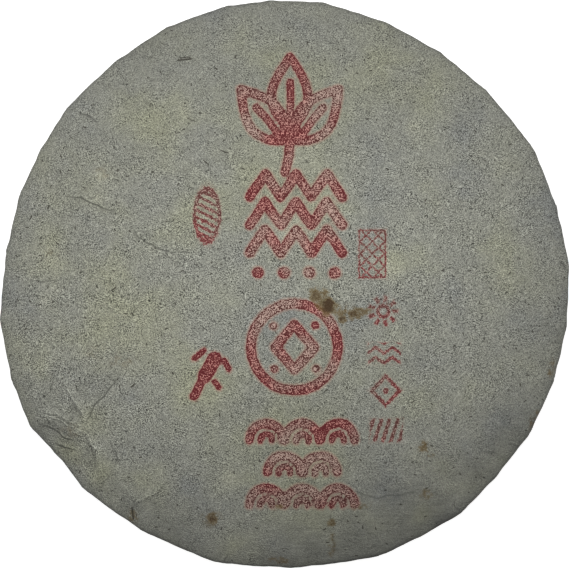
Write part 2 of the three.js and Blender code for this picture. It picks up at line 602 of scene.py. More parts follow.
@dataclass(frozen=True)
class PaperHandling:
    """Creases, stains and slow changes of tone that the paper has got, and patches of painted shade,
    in millimetres.
    """

    # Each with its kind, its height, the points of its line and, if not the usual one, its width
    creases: tuple[Crease, ...] = (
        Crease(CreaseKind.VALLEY, 0.34, ((-54.4, 23.2), (-50.9, 17.5), (-45.2, 14.0), (-40.4, 12.4),
                                         (-35.4, 10.4))),
        Crease(CreaseKind.VALLEY, 0.26, ((-91.9, 1.9), (-82, 2.2), (-76.7, 3.0))),
        Crease(CreaseKind.VALLEY, 0.38, ((-79.2, 32.0), (-70.7, 30.9), (-64.0, 28.1), (-56.6, 24.4))),
        Crease(CreaseKind.VALLEY, 0.18, ((-79.2, 26.0), (-70.0, 24.6))),
        Crease(CreaseKind.RIDGE, 0.34, ((32.2, 76.9), (40.3, 75.1), (48.5, 73.4), (55.9, 71.2))),
        Crease(CreaseKind.VALLEY, 0.32, ((-73.9, 62.4), (-69, 60.3), (-64.0, 56.0))),
        Crease(CreaseKind.RIDGE, 0.95, ((-91, -42.6), (-85.6, -45.0), (-80.4, -45.6), (-75.4, -48.4),
                                        (-69.2, -50.4), (-64.2, -54.4)), 2.2),
        Crease(CreaseKind.RIDGE, 0.86, ((-62.6, -67.4), (-65.6, -61.6), (-66.4, -56.0), (-69.2, -50.4),
                                       (-70.6, -43.2), (-74.6, -37.0), (-79.8, -28.6)), 2.1),
        Crease(CreaseKind.VALLEY, 0.4, ((-54.6, -26.4), (-59.8, -34.4), (-65.9, -40.4), (-69.2, -47.4),
                                         (-74.2, -51.6)), 2.0),
        Crease(CreaseKind.VALLEY, 0.46, ((-81.4, -54.2), (-77.0, -56.4), (-71.4, -57.0)), 1.9),
        Crease(CreaseKind.VALLEY, 0.44, ((-88.4, -46.8), (-80.6, -50.0), (-77.4, -52.9),
                                         (-71.6, -54.0)), 1.9),
        Crease(CreaseKind.RIDGE, 0.56, ((-40.6, -66), (-45.0, -71.6), (-54.6, -76.6)), 2.4),
        Crease(CreaseKind.VALLEY, 0.32, ((-62.0, -52.0), (-58.6, -57.8), (-59.4, -64.0)), 2.2),
        Crease(CreaseKind.RIDGE, 0.34, ((-84, -12), (-88, -24), (-90, -33)), 3.4),
        Crease(CreaseKind.VALLEY, 0.2, ((65.4, -55.1), (70.7, -57.6), (75.8, -59.0))),
        Crease(CreaseKind.VALLEY, 0.16, ((77.6, -54.6), (83.4, -56.7))),
        Crease(CreaseKind.RIDGE, 0.30, ((29.0, -94.2), (30.2, -92.4), (33.4, -92.0))),
        Crease(CreaseKind.VALLEY, 0.30, ((-22.0, -97.0), (-19.6, -93.4))),
        Crease(CreaseKind.RIDGE, 0.22, ((16.2, -84.0), (15.7, -89.0), (17.0, -95.0))),
        Crease(CreaseKind.VALLEY, 0.40, ((96.2, 9.6), (99.4, 6.2))),
        Crease(CreaseKind.VALLEY, 0.18, ((20, -70), (33, -73.5), (47, -71))),
        Crease(CreaseKind.RIDGE, 0.16, ((-12, -52), (-30, -57), (-44, -55))),
    )
    crease_end: float = 0.3
    far: float = 8.0
    # Where the paper is rumpled: x, y, radius and share
    rumpled: tuple[Patch, ...] = (
        (-78, -40, 20, 0.9), (-58, -72, 20, 0.8), (8, -95, 22, 0.6), (60, -76, 24, 0.8),
        (88, -40, 14, 0.5), (-90, 20, 12, 0.4), (-62, 68, 14, 0.35), (50, 84, 14, 0.35),
    )
    rumple_height: float = 1.3
    rumple_size: float = 9.0
    rumple_crest: float = 0.3
    # The finer rumples, as shares of the size and of the height
    fine_rumple: Point = (0.45, 0.4)
    # Where the paper has gone olive: x, y, radius and share
    olive: tuple[Patch, ...] = (
        (-61, -13, 23, 0.55), (-47, 56, 16, 0.45), (-79, 15, 8, 0.3), (-30, 24, 14, 0.4),
        (2, 65, 21, 0.6), (3, 26, 19, 0.55), (36, 8, 6.5, 0.6), (50, 31, 6.5, 0.35),
        (80, 0, 11, 0.35), (-1, -55, 25, 0.6), (-28, -31, 9, 0.55), (46, -41, 7, 0.4),
        (41, 75, 18, 0.35), (-76, -58, 6, 0.8), (-65, -64, 6, 0.7), (-45, -66, 8, 0.25),
        (49, -79, 5, 0.7), (-68, -47, 6, 0.6),
    )
    # Where it has stayed or been rubbed pale
    pale: tuple[Patch, ...] = (
        (44.5, 56, 2.6, 0.9), (-65, 31.0, 2.0, 1.0), (-64, 39, 3.2, 0.5), (-19, -66, 2.6, 0.7),
        (4, 45, 7, 0.5), (3, 20, 7, 0.6), (36, 6.5, 5, 0.7), (-83, 9.5, 4.5, 0.5),
        (36.8, 5.5, 2.2, 0.6), (2.1, 18.9, 2.4, 0.6), (-64, 38.4, 2, 0.6), (-35, 62, 2.2, 0.6),
        (76, 4.8, 2.4, 0.6), (-84, -4, 3, 0.5), (-80, 0, 2.4, 0.4),
    )
    # Where handling has soiled it, together with painted shade, darkest towards the bottom and the
    # lower rim
    soil_and_shade: tuple[Patch, ...] = (
        (10, -100, 26, 0.9), (52, -86, 24, 0.9), (-44, -87, 22, 0.65), (82, -58, 20, 0.75),
        (98, -20, 16, 0.3), (-88, -50, 16, 0.35), (-48, 86, 14, 0.3), (-6, 78, 48, 0.36),
        (16, -63, 42, 0.33), (-72, 40, 26, 0.2), (46, 68, 22, 0.16),
    )
    stains: tuple[Spot, ...] = (
        Spot(12.6, -4.0, 5.4, 3.8, -38, 0.74),
        Spot(15.6, -6.2, 2.8, 2.2, -50, 0.65),
        Spot(14.2, -8.6, 3.2, 1.4, 65, 0.5),
        Spot(20.2, -8.2, 8.5, 3.6, -10, 0.26),
        Spot(19.8, -11.0, 1.9, 1.6, 0, 0.6),
        Spot(24.6, -9.2, 3.2, 2.1, 25, 0.6),
        Spot(28.6, -8.2, 2.6, 1.6, 10, 0.3),
        Spot(-25.8, -80.6, 2.3, 2.1, 0, 0.6),
        Spot(-25.8, -80.6, 4.6, 4.0, 20, 0.26),
        Spot(16.3, -82.0, 2.0, 1.6, 0, 0.75),
        Spot(16.6, -90.0, 1.6, 6.0, 0, 0.36),
        Spot(48.1, -55.3, 2.8, 2.4, 0, 0.44),
        Spot(51.0, -57.8, 2.2, 1.6, 20, 0.4),
        Spot(49.2, -72.4, 3.0, 2.6, 0, 0.34),
        Spot(87.7, -46.5, 2.2, 5.2, -25, 0.28),
        Spot(93.9, -28.4, 4.6, 2.2, 75, 0.32),
        Spot(-53.4, -80.6, 4.2, 2.2, 90, 0.36),
        Spot(26.2, -76.2, 5.5, 1.4, 5, 0.42),
        Spot(-2.0, -76.2, 3.2, 1.2, 5, 0.4),
        Spot(-2.2, -96.0, 5.0, 1.8, 0, 0.42),
        Spot(-81.6, 11.3, 4.0, 3.6, 0, 0.14),
        Spot(-65.7, -22.4, 4.8, 3.6, 0, 0.13),
        Spot(-56.2, -25.3, 6.2, 4.0, 10, 0.15),
        Spot(-74.5, -50.2, 5.4, 3.4, 10, 0.18),
        Spot(-63.6, 39.6, 4.4, 4.0, 0, 0.13),
    )
    # Where a stain starts to fade and where it has gone, as shares of its half size
    stain_fade: Point = (0.25, 1.25)

    def crease_field(self, places: np.ndarray) -> tuple[np.ndarray, np.ndarray, np.ndarray]:
        """Measure how far places lie from the nearest crease, and how high the paper stands.

        Args:
            places: Rows of two coordinates in millimetres.

        Returns:
            The signed distances in millimetres, the nearest crease's height, which dies away at
            its ends and is negative in a valley, and the relief of them all together.
        """
        nearest = np.full(len(places), self.far)
        height = np.zeros(len(places))
        relief = np.zeros(len(places))
        for crease in self.creases:
            pieces = line_pieces(crease.points)
            for number, (start, end) in enumerate(pieces):
                gap, share = piece_distance(places, start, end)
                along = (number + share) / len(pieces)
                ends = smooth(along, 0, self.crease_end) * smooth(1 - along, 0, self.crease_end)
                tall = crease.kind.value * crease.height * ends
                closer = np.abs(gap) < np.abs(nearest)
                nearest = np.where(closer, gap, nearest)
                height = np.where(closer, tall, height)
                swelling = tall * np.exp(-((gap / crease.width) ** 2))
                relief = np.where(np.abs(swelling) > np.abs(relief), swelling, relief)
        return nearest, height, relief

    def rumple(self, places: np.ndarray) -> np.ndarray:
        """Relief of the rumpled patches, which meets in soft ridges.

        Args:
            places: Rows of two coordinates in millimetres.

        Returns:
            The heights in millimetres.
        """
        flat = on_plane(places)
        size_share, height_share = self.fine_rumple
        coarse = roughness_field(flat, self.rumple_size, shift=6.6)
        fine = roughness_field(flat, self.rumple_size * size_share, shift=22.3)
        crests = self.rumple_crest - np.abs(coarse)
        crests += height_share * (self.rumple_crest - np.abs(fine))
        return self.rumple_height * self.patch_field(places, self.rumpled) * crests

    def stain_field(self, places: np.ndarray) -> np.ndarray:
        """Add up the stains.

        Args:
            places: Rows of two coordinates in millimetres.

        Returns:
            How dense the stain is at each place, from 0 to about 1.
        """
        total = np.zeros(len(places))
        for spot in self.stains:
            turn = math.radians(spot.turn)
            x, y = (places - (spot.x, spot.y)).T
            along = (x * math.cos(turn) + y * math.sin(turn)) / spot.long
            aside = (y * math.cos(turn) - x * math.sin(turn)) / spot.wide
            total += spot.strength * (1 - smooth(np.hypot(along, aside), *self.stain_fade))
        return total

    @staticmethod
    def patch_field(places: np.ndarray, patches: Sequence[Patch]) -> np.ndarray:
        """Add up soft round patches.

        Args:
            places: Rows of two coordinates in millimetres.
            patches: The middle, radius and share of each patch.

        Returns:
            The sum at each place, at most 1.
        """
        total = np.zeros(len(places))
        for x, y, radius, share in patches:
            total += share * np.exp(-(((places - (x, y)) / radius) ** 2).sum(axis=1))
        return np.clip(total, 0, 1)


@dataclass(frozen=True)
class WrapperPiece:
    """The paper wrapper as one closed shell drawn tight over the tea."""

    form: CakeForm = field(default_factory=CakeForm)
    printed: PrintedFace = field(default_factory=PrintedFace)
    handling: PaperHandling = field(default_factory=PaperHandling)
    rings: int = 180
    columns_per_pleat: int = 18
    seam: float = 1e-5
    # The folded edge of a pleat, column by column: overhang, and depth as a share of the step
    lip: tuple[Point, ...] = ((0.45 * MM, 0.02), (0.6 * MM, 0.22), (0.15 * MM, 0.42))
    depth_curve: float = 1.2
    # The rubbed edge of a fold: its middle, in columns from the next pleat, and its half width
    edge_columns: float = 2.5
    leaf_lump: float = 0.2 * MM
    leaf_size: float = 9 * MM
    stalk_lump: float = 0.09 * MM
    stalk_size: float = 3.4 * MM
    stalk_direction: Point = (0.5, 0.87)
    stalk_slimness: float = 2.2
    fine_stalk_share: float = 0.6
    rim_wrinkle: float = 0.16 * MM
    back_wrinkle: float = 0.4 * MM
    # The wrinkles' noise in mm: its length across the pleat and along it, and how far it moves
    # on from pleat to pleat
    wrinkle_size: tuple[float, float, float] = (3.2, 22, 4.7)
    wrinkle_reach: float = 0.72
    wrinkle_inset: float = 6 * MM
    wrinkle_share: float = 0.35
    wrinkle_end: float = 2 * MM
    knot_crumple: float = 1.9 * MM
    knot_folds: int = 7
    knot_twist: float = 2.6 * MM
    knot_stray: float = 2.5
    knot_core: tuple[float, float] = (0.5 * MM, 4 * MM)
    # The knot's coarse and fine crumple and its wrung folds: shares of the height
    knot_shares: tuple[float, float, float] = (1.2, 0.5, 0.7)
    knot_sizes: tuple[float, float] = (5.2 * MM, 2.4 * MM)
    side_puff: float = 0.45 * MM
    # Painted shade along the rim, where the paper turns under: where it starts to fade, where it has
    # gone, and how far it is missing at the left and the right
    rim_shade: tuple[float, float] = (0.3 * MM, 2.4 * MM)
    rim_shade_loss: float = 0.85
    back_olive: float = 0.4
    back_soiled: float = 0.3

    def build(self) -> bpy.types.Object:
        """Make the wrapper's mesh, its attributes and its object.

        Returns:
            The object, without a finish.
        """
        mesh = self._sphere()
        count = len(mesh.vertices)
        unit = np.empty(count * 3)
        mesh.vertices.foreach_get("co", unit)
        places, notes = self._draw(unit.reshape(count, 3))
        mesh.vertices.foreach_set("co", places.ravel())
        for name, values in notes.items():
            attribute = mesh.attributes.new(name, "FLOAT", "POINT")
            attribute.data.foreach_set("value", values.astype(np.float32))
        mesh.shade_smooth()
        mesh.update()
        piece = bpy.data.objects.new("tea_cake_wrapper", mesh)
        bpy.context.scene.collection.objects.link(piece)
        return piece

    def _sphere(self) -> bpy.types.Mesh:
        """Roll a grid of rings and columns into the closed sphere that the paper is drawn from.

        Returns:
            The sphere's mesh, of radius 1.
        """
        grid = bmesh.new()
        columns = len(self.form.pleats) * self.columns_per_pleat
        bmesh.ops.create_grid(grid, x_segments=columns, y_segments=self.rings, size=1.0)
        for vert in grid.verts:
            turn, polar = math.pi * (vert.co.x + 1), math.pi / 2 * (1 - vert.co.y)
            level = math.sin(polar)
            vert.co = (level * math.cos(turn), level * math.sin(turn), math.cos(polar))
        bmesh.ops.remove_doubles(grid, verts=grid.verts, dist=self.seam)
        bmesh.ops.recalc_face_normals(grid, faces=grid.faces)
        mesh = bpy.data.meshes.new("tea_cake_wrapper")
        grid.to_mesh(mesh)
        grid.free()
        return mesh

    def _draw(self, unit: np.ndarray) -> tuple[np.ndarray, dict[str, np.ndarray]]:
        """Move the sphere's points to the paper's.

        Args:
            unit: The points of a sphere of radius 1.

        Returns:
            The paper's points, and what the finish reads at each of them.
        """
        form = self.form
        section = form.section(self.rings)
        columns = len(form.pleats) * self.columns_per_pleat
        ring = np.rint(np.arccos(np.clip(unit[:, 2], -1, 1)) / math.pi * self.rings).astype(int)
        turn = np.arctan2(unit[:, 1], unit[:, 0]) / FULL_TURN * columns
        pleat, column = np.divmod(np.rint(turn).astype(int) % columns, self.columns_per_pleat)

        radius, height = section.radius[ring], section.height[ring]
        outward, on_face = section.outward[ring], section.on_face[ring]
        in_rim = radius / form.rim_radius
        near = smooth(form.fold_start - height, 0, form.fold_start - form.rim_height)
        folded = np.where(on_face, near, 1.0)

        gathered, overhang, depth = self._pleat_columns()
        share = column / self.columns_per_pleat * (1 - folded) + gathered[column] * folded
        span = form.pleat_spans()[pleat]
        grown = form.fold_growth(radius)
        back_sweep = math.radians(form.fold_sweep) * (1 - in_rim) ** form.sweep_fade
        sweep = np.where(on_face, 0.0, back_sweep)
        lip = overhang[column] * folded * grown / np.maximum(radius, form.knot_radius)
        angle = form.pleat_starts()[pleat] + span * share + sweep + lip

        recess = form.fold_steps(pleat) * grown * depth[column] * folded
        lift = self._pucker(share, radius, on_face) - recess
        lift += self._wrinkles(pleat, share * span * radius, radius, on_face)
        puffed = np.sin(math.pi * np.clip(share, 0, 1))
        lift += self.side_puff * puffed * np.where(on_face, 0, self._side(radius))
        rim_turn = form.pleat_starts()[pleat] + span * share
        reach = form.rim_reach(rim_turn) * in_rim**form.reach_fade
        across = radius + outward[:, 0] * lift + reach
        x, y = across * np.cos(angle), across * np.sin(angle)
        plan = np.column_stack((x, y)) / MM

        gap, crease, crease_relief = self.handling.crease_field(plan)
        crease_relief = crease_relief + self.handling.rumple(plan)
        relief = form.swell(x, y) * (1 - in_rim**form.swell_fade) + self._leaves(x, y)
        relief += crease_relief * MM
        knot = form.knot_height * (1 - smooth(radius, 0, form.knot_radius))
        knot = knot - self._crumple(x, y, radius)
        z = height + outward[:, 1] * lift + np.where(on_face, relief, -knot)
        places = self._settled(np.column_stack((x, y, z)))

        ink = np.where(on_face, self.printed.distance(plan), self.handling.far)
        off_edge = np.abs(column - self.columns_per_pleat + self.edge_columns)
        edge = np.clip(1 - off_edge / self.edge_columns, 0, 1)
        # Painted shade: a dark band where the paper turns under at the rim, weaker at the left and the
        # right
        rim_shade = 1 - smooth(np.abs(height - form.rim_height), *self.rim_shade)
        rim_shade = rim_shade * (1 - self.rim_shade_loss * np.cos(angle) ** 4)
        patches = self.handling.patch_field
        return places, {
            "on_face": np.where(on_face, 1.0, 0.0),
            "print_distance": ink,
            "print_solidity": self.printed.solidity(plan),
            "crease_distance": np.where(on_face, gap, self.handling.far),
            "crease_height": np.where(on_face, crease, 0),
            "crease_swelling": np.where(on_face, crease_relief, 0),
            "olive": np.where(on_face, patches(plan, self.handling.olive), self.back_olive),
            "pale": np.where(on_face, patches(plan, self.handling.pale), 0),
            # Soiling together with painted shade, darkest towards the bottom
            "soil_and_shade": np.where(on_face, patches(plan, self.handling.soil_and_shade), self.back_soiled),
            "fold_edge": edge * folded * grown,
            "fold_depth": depth[column] * folded * grown,
            "rim_shade": rim_shade,
            "stain": np.where(on_face, self.handling.stain_field(plan), 0),
        }

    def _pleat_columns(self) -> tuple[np.ndarray, np.ndarray, np.ndarray]:
        """Where a gathered pleat's columns lie.

        Returns:
            Across the pleat as a share, past its edge in metres, and behind the flush paper as a
            share of the fold's step.
        """
        flat = self.columns_per_pleat - len(self.lip)
        share = np.minimum(np.arange(self.columns_per_pleat) / (flat - 1), 1.0)
        overhang = np.zeros(self.columns_per_pleat)
        depth = np.maximum(0, 1 - share / self.form.fold_slope) ** self.depth_curve
        overhang[flat:] = [past for past, _ in self.lip]
        depth[flat:] = [behind for _, behind in self.lip]
        return share, overhang, depth

    def _pucker(self, share: np.ndarray, radius: np.ndarray, on_face: np.ndarray) -> np.ndarray:
        """The soft ridge that a pleat raises along its edges over the shoulder.

        Args:
            share: How far across the pleat.
            radius: How far from the middle.
            on_face: Whether the place is on the face.

        Returns:
            The ridge's height at each place.
        """
        form = self.form
        ridge = 1 - smooth(np.minimum(share, 1 - share), 0, form.pucker_width)
        shoulder = smooth(radius / form.rim_radius, form.pucker_reach, 1)
        side = smooth(radius, form.foot_radius, form.rim_radius)
        return form.pucker_height * ridge * np.where(on_face, shoulder, side)

    def _side(self, radius: np.ndarray) -> np.ndarray:
        """Find how far a place is from both ends of the side.

        Args:
            radius: How far from the middle.

        Returns:
            A share, 1 halfway down the side and 0 at the rim and the foot.
        """
        form = self.form
        share = (form.rim_radius - radius) / (form.rim_radius - form.foot_radius)
        return np.sin(math.pi * np.clip(share, 0, 1))

    def _wrinkles(
        self, pleat: np.ndarray, across: np.ndarray, radius: np.ndarray, on_face: np.ndarray
    ) -> np.ndarray:
        """Fine wrinkles that run in from the rim, and lie along the folds on the back.

        Args:
            pleat: Number of the pleat.
            across: How far across the pleat, in metres.
            radius: How far from the middle.
            on_face: Whether the place is on the face.

        Returns:
            How far each place stands out, which on the back is never past the flush paper.
        """
        form = self.form
        wide, long, apart = self.wrinkle_size
        places = np.column_stack((across / wide, radius / long, pleat * apart * MM))
        grooves = roughness_field(places, 1 * MM, shift=0.5)
        shoulder = smooth(radius / form.rim_radius, self.wrinkle_reach, 1) * self.rim_wrinkle
        inside = 1 - smooth(radius, form.foot_radius - self.wrinkle_inset, form.rim_radius)
        creased = self.wrinkle_share + (1 - self.wrinkle_share) * inside
        creased *= smooth(radius, self.wrinkle_end, form.fold_end_radius)
        back = -self.back_wrinkle * creased * np.clip(self.wrinkle_share + grooves, 0, 1)
        return np.where(on_face, shoulder * grooves, back)

    def _leaves(self, x: np.ndarray, y: np.ndarray) -> np.ndarray:
        """Low lumps where leaves and stalks press against the paper.

        Args:
            x: Where in the plan, along X.
            y: Where in the plan, along Y.

        Returns:
            Their height at each place.
        """
        plan = on_plane(np.column_stack((x, y)))
        right, up = self.stalk_direction
        aside = (up * x - right * y) * self.stalk_slimness
        long = on_plane(np.column_stack((right * x + up * y, aside)))
        leaves = roughness_field(plan, self.leaf_size, shift=2.9)
        stalks = roughness_field(long, self.stalk_size * 2, shift=8.1)
        fine = roughness_field(plan, self.stalk_size, shift=11.3)
        return self.leaf_lump * leaves + self.stalk_lump * (stalks + self.fine_stalk_share * fine)

    def _crumple(self, x: np.ndarray, y: np.ndarray, radius: np.ndarray) -> np.ndarray:
        """Sharp-edged crumple of the tucked ends in the hollow.

        Args:
            x: Where in the plan, along X.
            y: Where in the plan, along Y.
            radius: How far from the middle.

        Returns:
            How far each place is pressed in.
        """
        plan = on_plane(np.column_stack((x, y)))
        coarse_size, fine_size = self.knot_sizes
        coarse = np.abs(roughness_field(plan, coarse_size, shift=31.7))
        fine = np.abs(roughness_field(plan, fine_size, shift=14.2))
        inside = 1 - smooth(radius, self.form.knot_radius, self.form.fold_end_radius)
        twist = np.arctan2(y, x) * self.knot_folds + radius / self.knot_twist
        twist += self.knot_stray * coarse
        wrung = np.abs(np.sin(twist / 2)) * smooth(radius, *self.knot_core)
        forms = zip(self.knot_shares, (coarse, fine, wrung))
        return self.knot_crumple * inside * sum(share * form for share, form in forms)

    def _settled(self, places: np.ndarray) -> np.ndarray:
        """Set the paper in the CAD solid's place.

        Args:
            places: The paper's points.

        Returns:
            The same points, with the middle of their outline and their lowest level where the
            solid has its own.
        """
        low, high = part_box(NODE)
        middle = (places.min(axis=0) + places.max(axis=0)) / 2
        shift = np.array([(low.x + high.x) / 2 - middle[0], (low.y + high.y) / 2 - middle[1],
                          low.z - places[:, 2].min()])
        return places + shift


class Sketch:
    """Adds nodes to one shader tree and joins them."""

    def __init__(self, tree: bpy.types.NodeTree) -> None:
        """Work on a tree, an empty one or one that holds nodes already."""
        self.tree = tree

    def add(self, kind: str, inputs: dict[str | int, Feed] | None = None,
            **settings: object) -> bpy.types.Node:
        """Add one node.

        Args:
            kind: The node's class name.
            inputs: What goes into its sockets, a link or a plain value for each.
            settings: Properties of the node itself.

        Returns:
            The node.
        """
        node = self.tree.nodes.new(kind)
        for name, value in settings.items():
            setattr(node, name, value)
        for key, value in (inputs or {}).items():
            self.feed(node.inputs[key], value)
        return node

    def feed(self, socket: bpy.types.NodeSocket, value: Feed) -> None:
        """Link a socket to another, or give it a plain value.

        Args:
            socket: The input to feed.
            value: What it gets.
        """
        if isinstance(value, bpy.types.NodeSocket):
            self.tree.links.new(value, socket)
        else:
            socket.default_value = value

    def math(self, operation: str, *feeds: Feed, clamp: bool = False) -> bpy.types.NodeSocket:
        """Work out one number.

        Args:
            operation: The Math node's operation.
            feeds: Its one to three numbers.
            clamp: Whether to keep the result from 0 to 1.

        Returns:
            The result.
        """
        inputs = dict(enumerate(feeds))
        return self.add("ShaderNodeMath", inputs, operation=operation, use_clamp=clamp).outputs[0]

    def vector(self, operation: str, *feeds: Feed) -> bpy.types.NodeSocket:
        """Work out one vector, or the number that a length or a dot product gives.

        Args:
            operation: The Vector Math node's operation.
            feeds: Its vectors, with a number last for a scaling.

        Returns:
            The result.
        """
        keys = (0, "Scale") if operation == "SCALE" else (0, 1)
        node = self.add("ShaderNodeVectorMath", dict(zip(keys, feeds)), operation=operation)
        return node.outputs["Value" if operation in ("LENGTH", "DOT_PRODUCT") else "Vector"]

    def ramp(self, value: Feed, low: Feed, high: Feed,
             start: Feed = 0.0, end: Feed = 1.0) -> bpy.types.NodeSocket:
        """Turn one range into another with soft ends.

        Args:
            value: The number to turn.
            low: Where the first range starts.
            high: Where it ends.
            start: What its start becomes.
            end: What its end becomes.

        Returns:
            The number in the second range.
        """
        inputs = dict(enumerate((value, low, high, start, end)))
        return self.add("ShaderNodeMapRange", inputs, interpolation_type="SMOOTHSTEP").outputs[0]

    def noise(self, place: Feed, size: float, detail: float = 2.0,
              roughness: float = 0.5) -> bpy.types.NodeSocket:
        """Even noise of one size.

        Args:
            place: Where to sample it.
            size: Length over which it changes, in metres.
            detail: Number of finer layers.
            roughness: Strength of each finer layer against the one before.

        Returns:
            A number about 0.5.
        """
        inputs = {"Vector": place, "Scale": 1 / size, "Detail": detail, "Roughness": roughness}
        return self.add("ShaderNodeTexNoise", inputs).outputs[0]

    def mix(self, factor: Feed, first: Feed, second: Feed) -> bpy.types.NodeSocket:
        """Blend two colours.

        Args:
            factor: Share of the second colour.
            first: Colour at 0.
            second: Colour at 1.

        Returns:
            The blend.
        """
        inputs = {0: factor, 6: first, 7: second}
        return self.add("ShaderNodeMix", inputs, data_type="RGBA").outputs[2]

    def brighten(self, colour: Feed, value: Feed) -> bpy.types.NodeSocket:
        """Multiply a colour's light by a number."""
        inputs = {"Color": colour, "Value": value}
        return self.add("ShaderNodeHueSaturation", inputs).outputs[0]

    def attribute(self, name: str) -> bpy.types.NodeSocket:
        """A number kept on the piece's points."""
        return self.add("ShaderNodeAttribute", attribute_name=name).outputs["Fac"]

    def group(self, tree: bpy.types.NodeTree, **inputs: Feed) -> bpy.types.Node:
        """Place a node group.

        Args:
            tree: The group.
            inputs: Its inputs, by name with a low line for each space.

        Returns:
            The group's node.
        """
        named = {name.replace("_", " ").title(): value for name, value in inputs.items()}
        return self.add("ShaderNodeGroup", named, node_tree=tree)


class GroupBench:
    """Makes the node groups, each once, with named inputs and outputs."""

    FLOAT = "NodeSocketFloat"
    VECTOR = "NodeSocketVector"
    # Fibres: how much they bend, and how long the shortest is against the given length
    FIBRE_BEND = 260.0
    SHORTEST_FIBRE = 0.2
    # Pulp: the sizes of its patterns, the shares of the grain, and how lively that is by place
    PATCH_SIZE = 22 * MM
    CLOUD_SIZE = 4.5 * MM
    COARSE_GRAIN_SIZE = 0.8 * MM
    FINE_GRAIN_SIZE = 0.36 * MM
    COARSE_GRAIN_SHARE = 0.09
    LIVELY_SIZE = 7 * MM
    LIVELY_RANGE = (0.8, 1.2)
    BRIGHT_CURL_SIZE = 1.5 * MM
    DARK_CURL_SIZE = 1.3 * MM
    CURL_LINE = 0.035
    CURL_GAP_SHARE = 0.7
    FINE_GRAIN_SHIFT = (0.3, 0.7, 0.1)
    STREAK_SIZE = 5 * MM
    STREAK_SQUEEZE = (1.0, 5.0, 1.0)
    # Ink: the frayed edge, the dark squeezed rim, and the specks that the paper leaves in it
    FRAY_SIZE = 0.8 * MM
    INK_EDGE = 0.16
    SQUEEZED_FROM = -0.75
    SQUEEZED_TO = -0.2
    SQUEEZED_GAIN = 0.13
    SPECK_SIZE = 0.39 * MM
    SPECK_SHIFT = (0.2, 0.0, 0.4)
    SPECK_RANGE = (0.495, 0.63)
    SOLIDITY_GAIN = 0.2
    BLEED_RANGE = (-0.2, 1.1)
    # Small figures: where the sun's rays start, how steep a ripple is, the lozenge's dot, and
    # the direction across the oval's bars
    RAY_START = 1.7
    RIPPLE_STEEPNESS = 0.7
    LOZENGE_DOT = 1.6
    OVAL_ACROSS = (0.45, 0.89, 0.0)

    def __init__(self) -> None:
        """Make every group."""
        self.fibres = self._fibres()
        self.mottle = self._mottle()
        self.stamp = self._stamp()
        self.stroke = self._stroke()
        self.sun = self._sun()
        self.bars = self._bars()
        self.ripples = self._ripples()
        self.lozenge = self._lozenge()
        self.oval = self._oval()

    def _open(self, name: str, inputs: dict[str, str], outputs: Sequence[str],
              ) -> tuple[Sketch, dict[str, bpy.types.NodeSocket], bpy.types.Node]:
        """Start a group.

        Args:
            name: The group's name.
            inputs: Socket type of each input by name.
            outputs: Names of its outputs, which are all numbers.

        Returns:
            A sketch of the group, its inputs by name, and the node that its outputs go into.
        """
        tree = bpy.data.node_groups.new(name, "ShaderNodeTree")
        for label, kind in inputs.items():
            tree.interface.new_socket(label, in_out="INPUT", socket_type=kind)
        for label in outputs:
            tree.interface.new_socket(label, in_out="OUTPUT", socket_type=self.FLOAT)
        source = tree.nodes.new("NodeGroupInput")
        target = tree.nodes.new("NodeGroupOutput")
        return Sketch(tree), {label: source.outputs[label] for label in inputs}, target

    def _fibres(self) -> bpy.types.NodeTree:
        """Short straight fibres that lie scattered at every angle in a level sheet.

        Returns:
            The group, which gives a mask.
        """
        sketch, given, target = self._open(
            "scattered_fibres",
            {"Place": self.VECTOR, "Spacing": self.FLOAT, "Length": self.FLOAT,
             "Width": self.FLOAT, "Share": self.FLOAT},
            ["Mask"],
        )
        scale = sketch.math("DIVIDE", 1.0, given["Spacing"])
        cells = sketch.add("ShaderNodeTexVoronoi", {"Vector": given["Place"], "Scale": scale})
        draws = sketch.add("ShaderNodeSeparateXYZ", {0: cells.outputs["Color"]})
        local = sketch.vector("SUBTRACT", given["Place"], cells.outputs["Position"])
        turn = sketch.math("MULTIPLY", draws.outputs[0], math.pi)
        spun = sketch.add("ShaderNodeVectorRotate", {"Vector": local, "Angle": turn},
                          rotation_type="Z_AXIS")
        parts = sketch.add("ShaderNodeSeparateXYZ", {0: spun.outputs[0]})
        squared = sketch.math("POWER", parts.outputs[0], 2.0)
        bend = sketch.math("MULTIPLY", squared, self.FIBRE_BEND)
        off_line = sketch.math("ABSOLUTE", sketch.math("SUBTRACT", parts.outputs[1], bend))
        along = sketch.math("ABSOLUTE", parts.outputs[0])
        longer = sketch.math("ADD", draws.outputs[1], self.SHORTEST_FIBRE)
        half = sketch.math("MULTIPLY", given["Length"], longer)
        far_along = sketch.math("DIVIDE", along, half)
        in_length = sketch.ramp(far_along, low=0.8, high=1.0, start=1.0, end=0.0)
        far_aside = sketch.math("DIVIDE", off_line, given["Width"])
        in_width = sketch.ramp(far_aside, low=0.5, high=1.0, start=1.0, end=0.0)
        chosen = sketch.math("LESS_THAN", draws.outputs[2], given["Share"])
        mask = sketch.math("MULTIPLY", sketch.math("MULTIPLY", in_length, in_width), chosen)
        sketch.feed(target.inputs["Mask"], mask)
        return sketch.tree

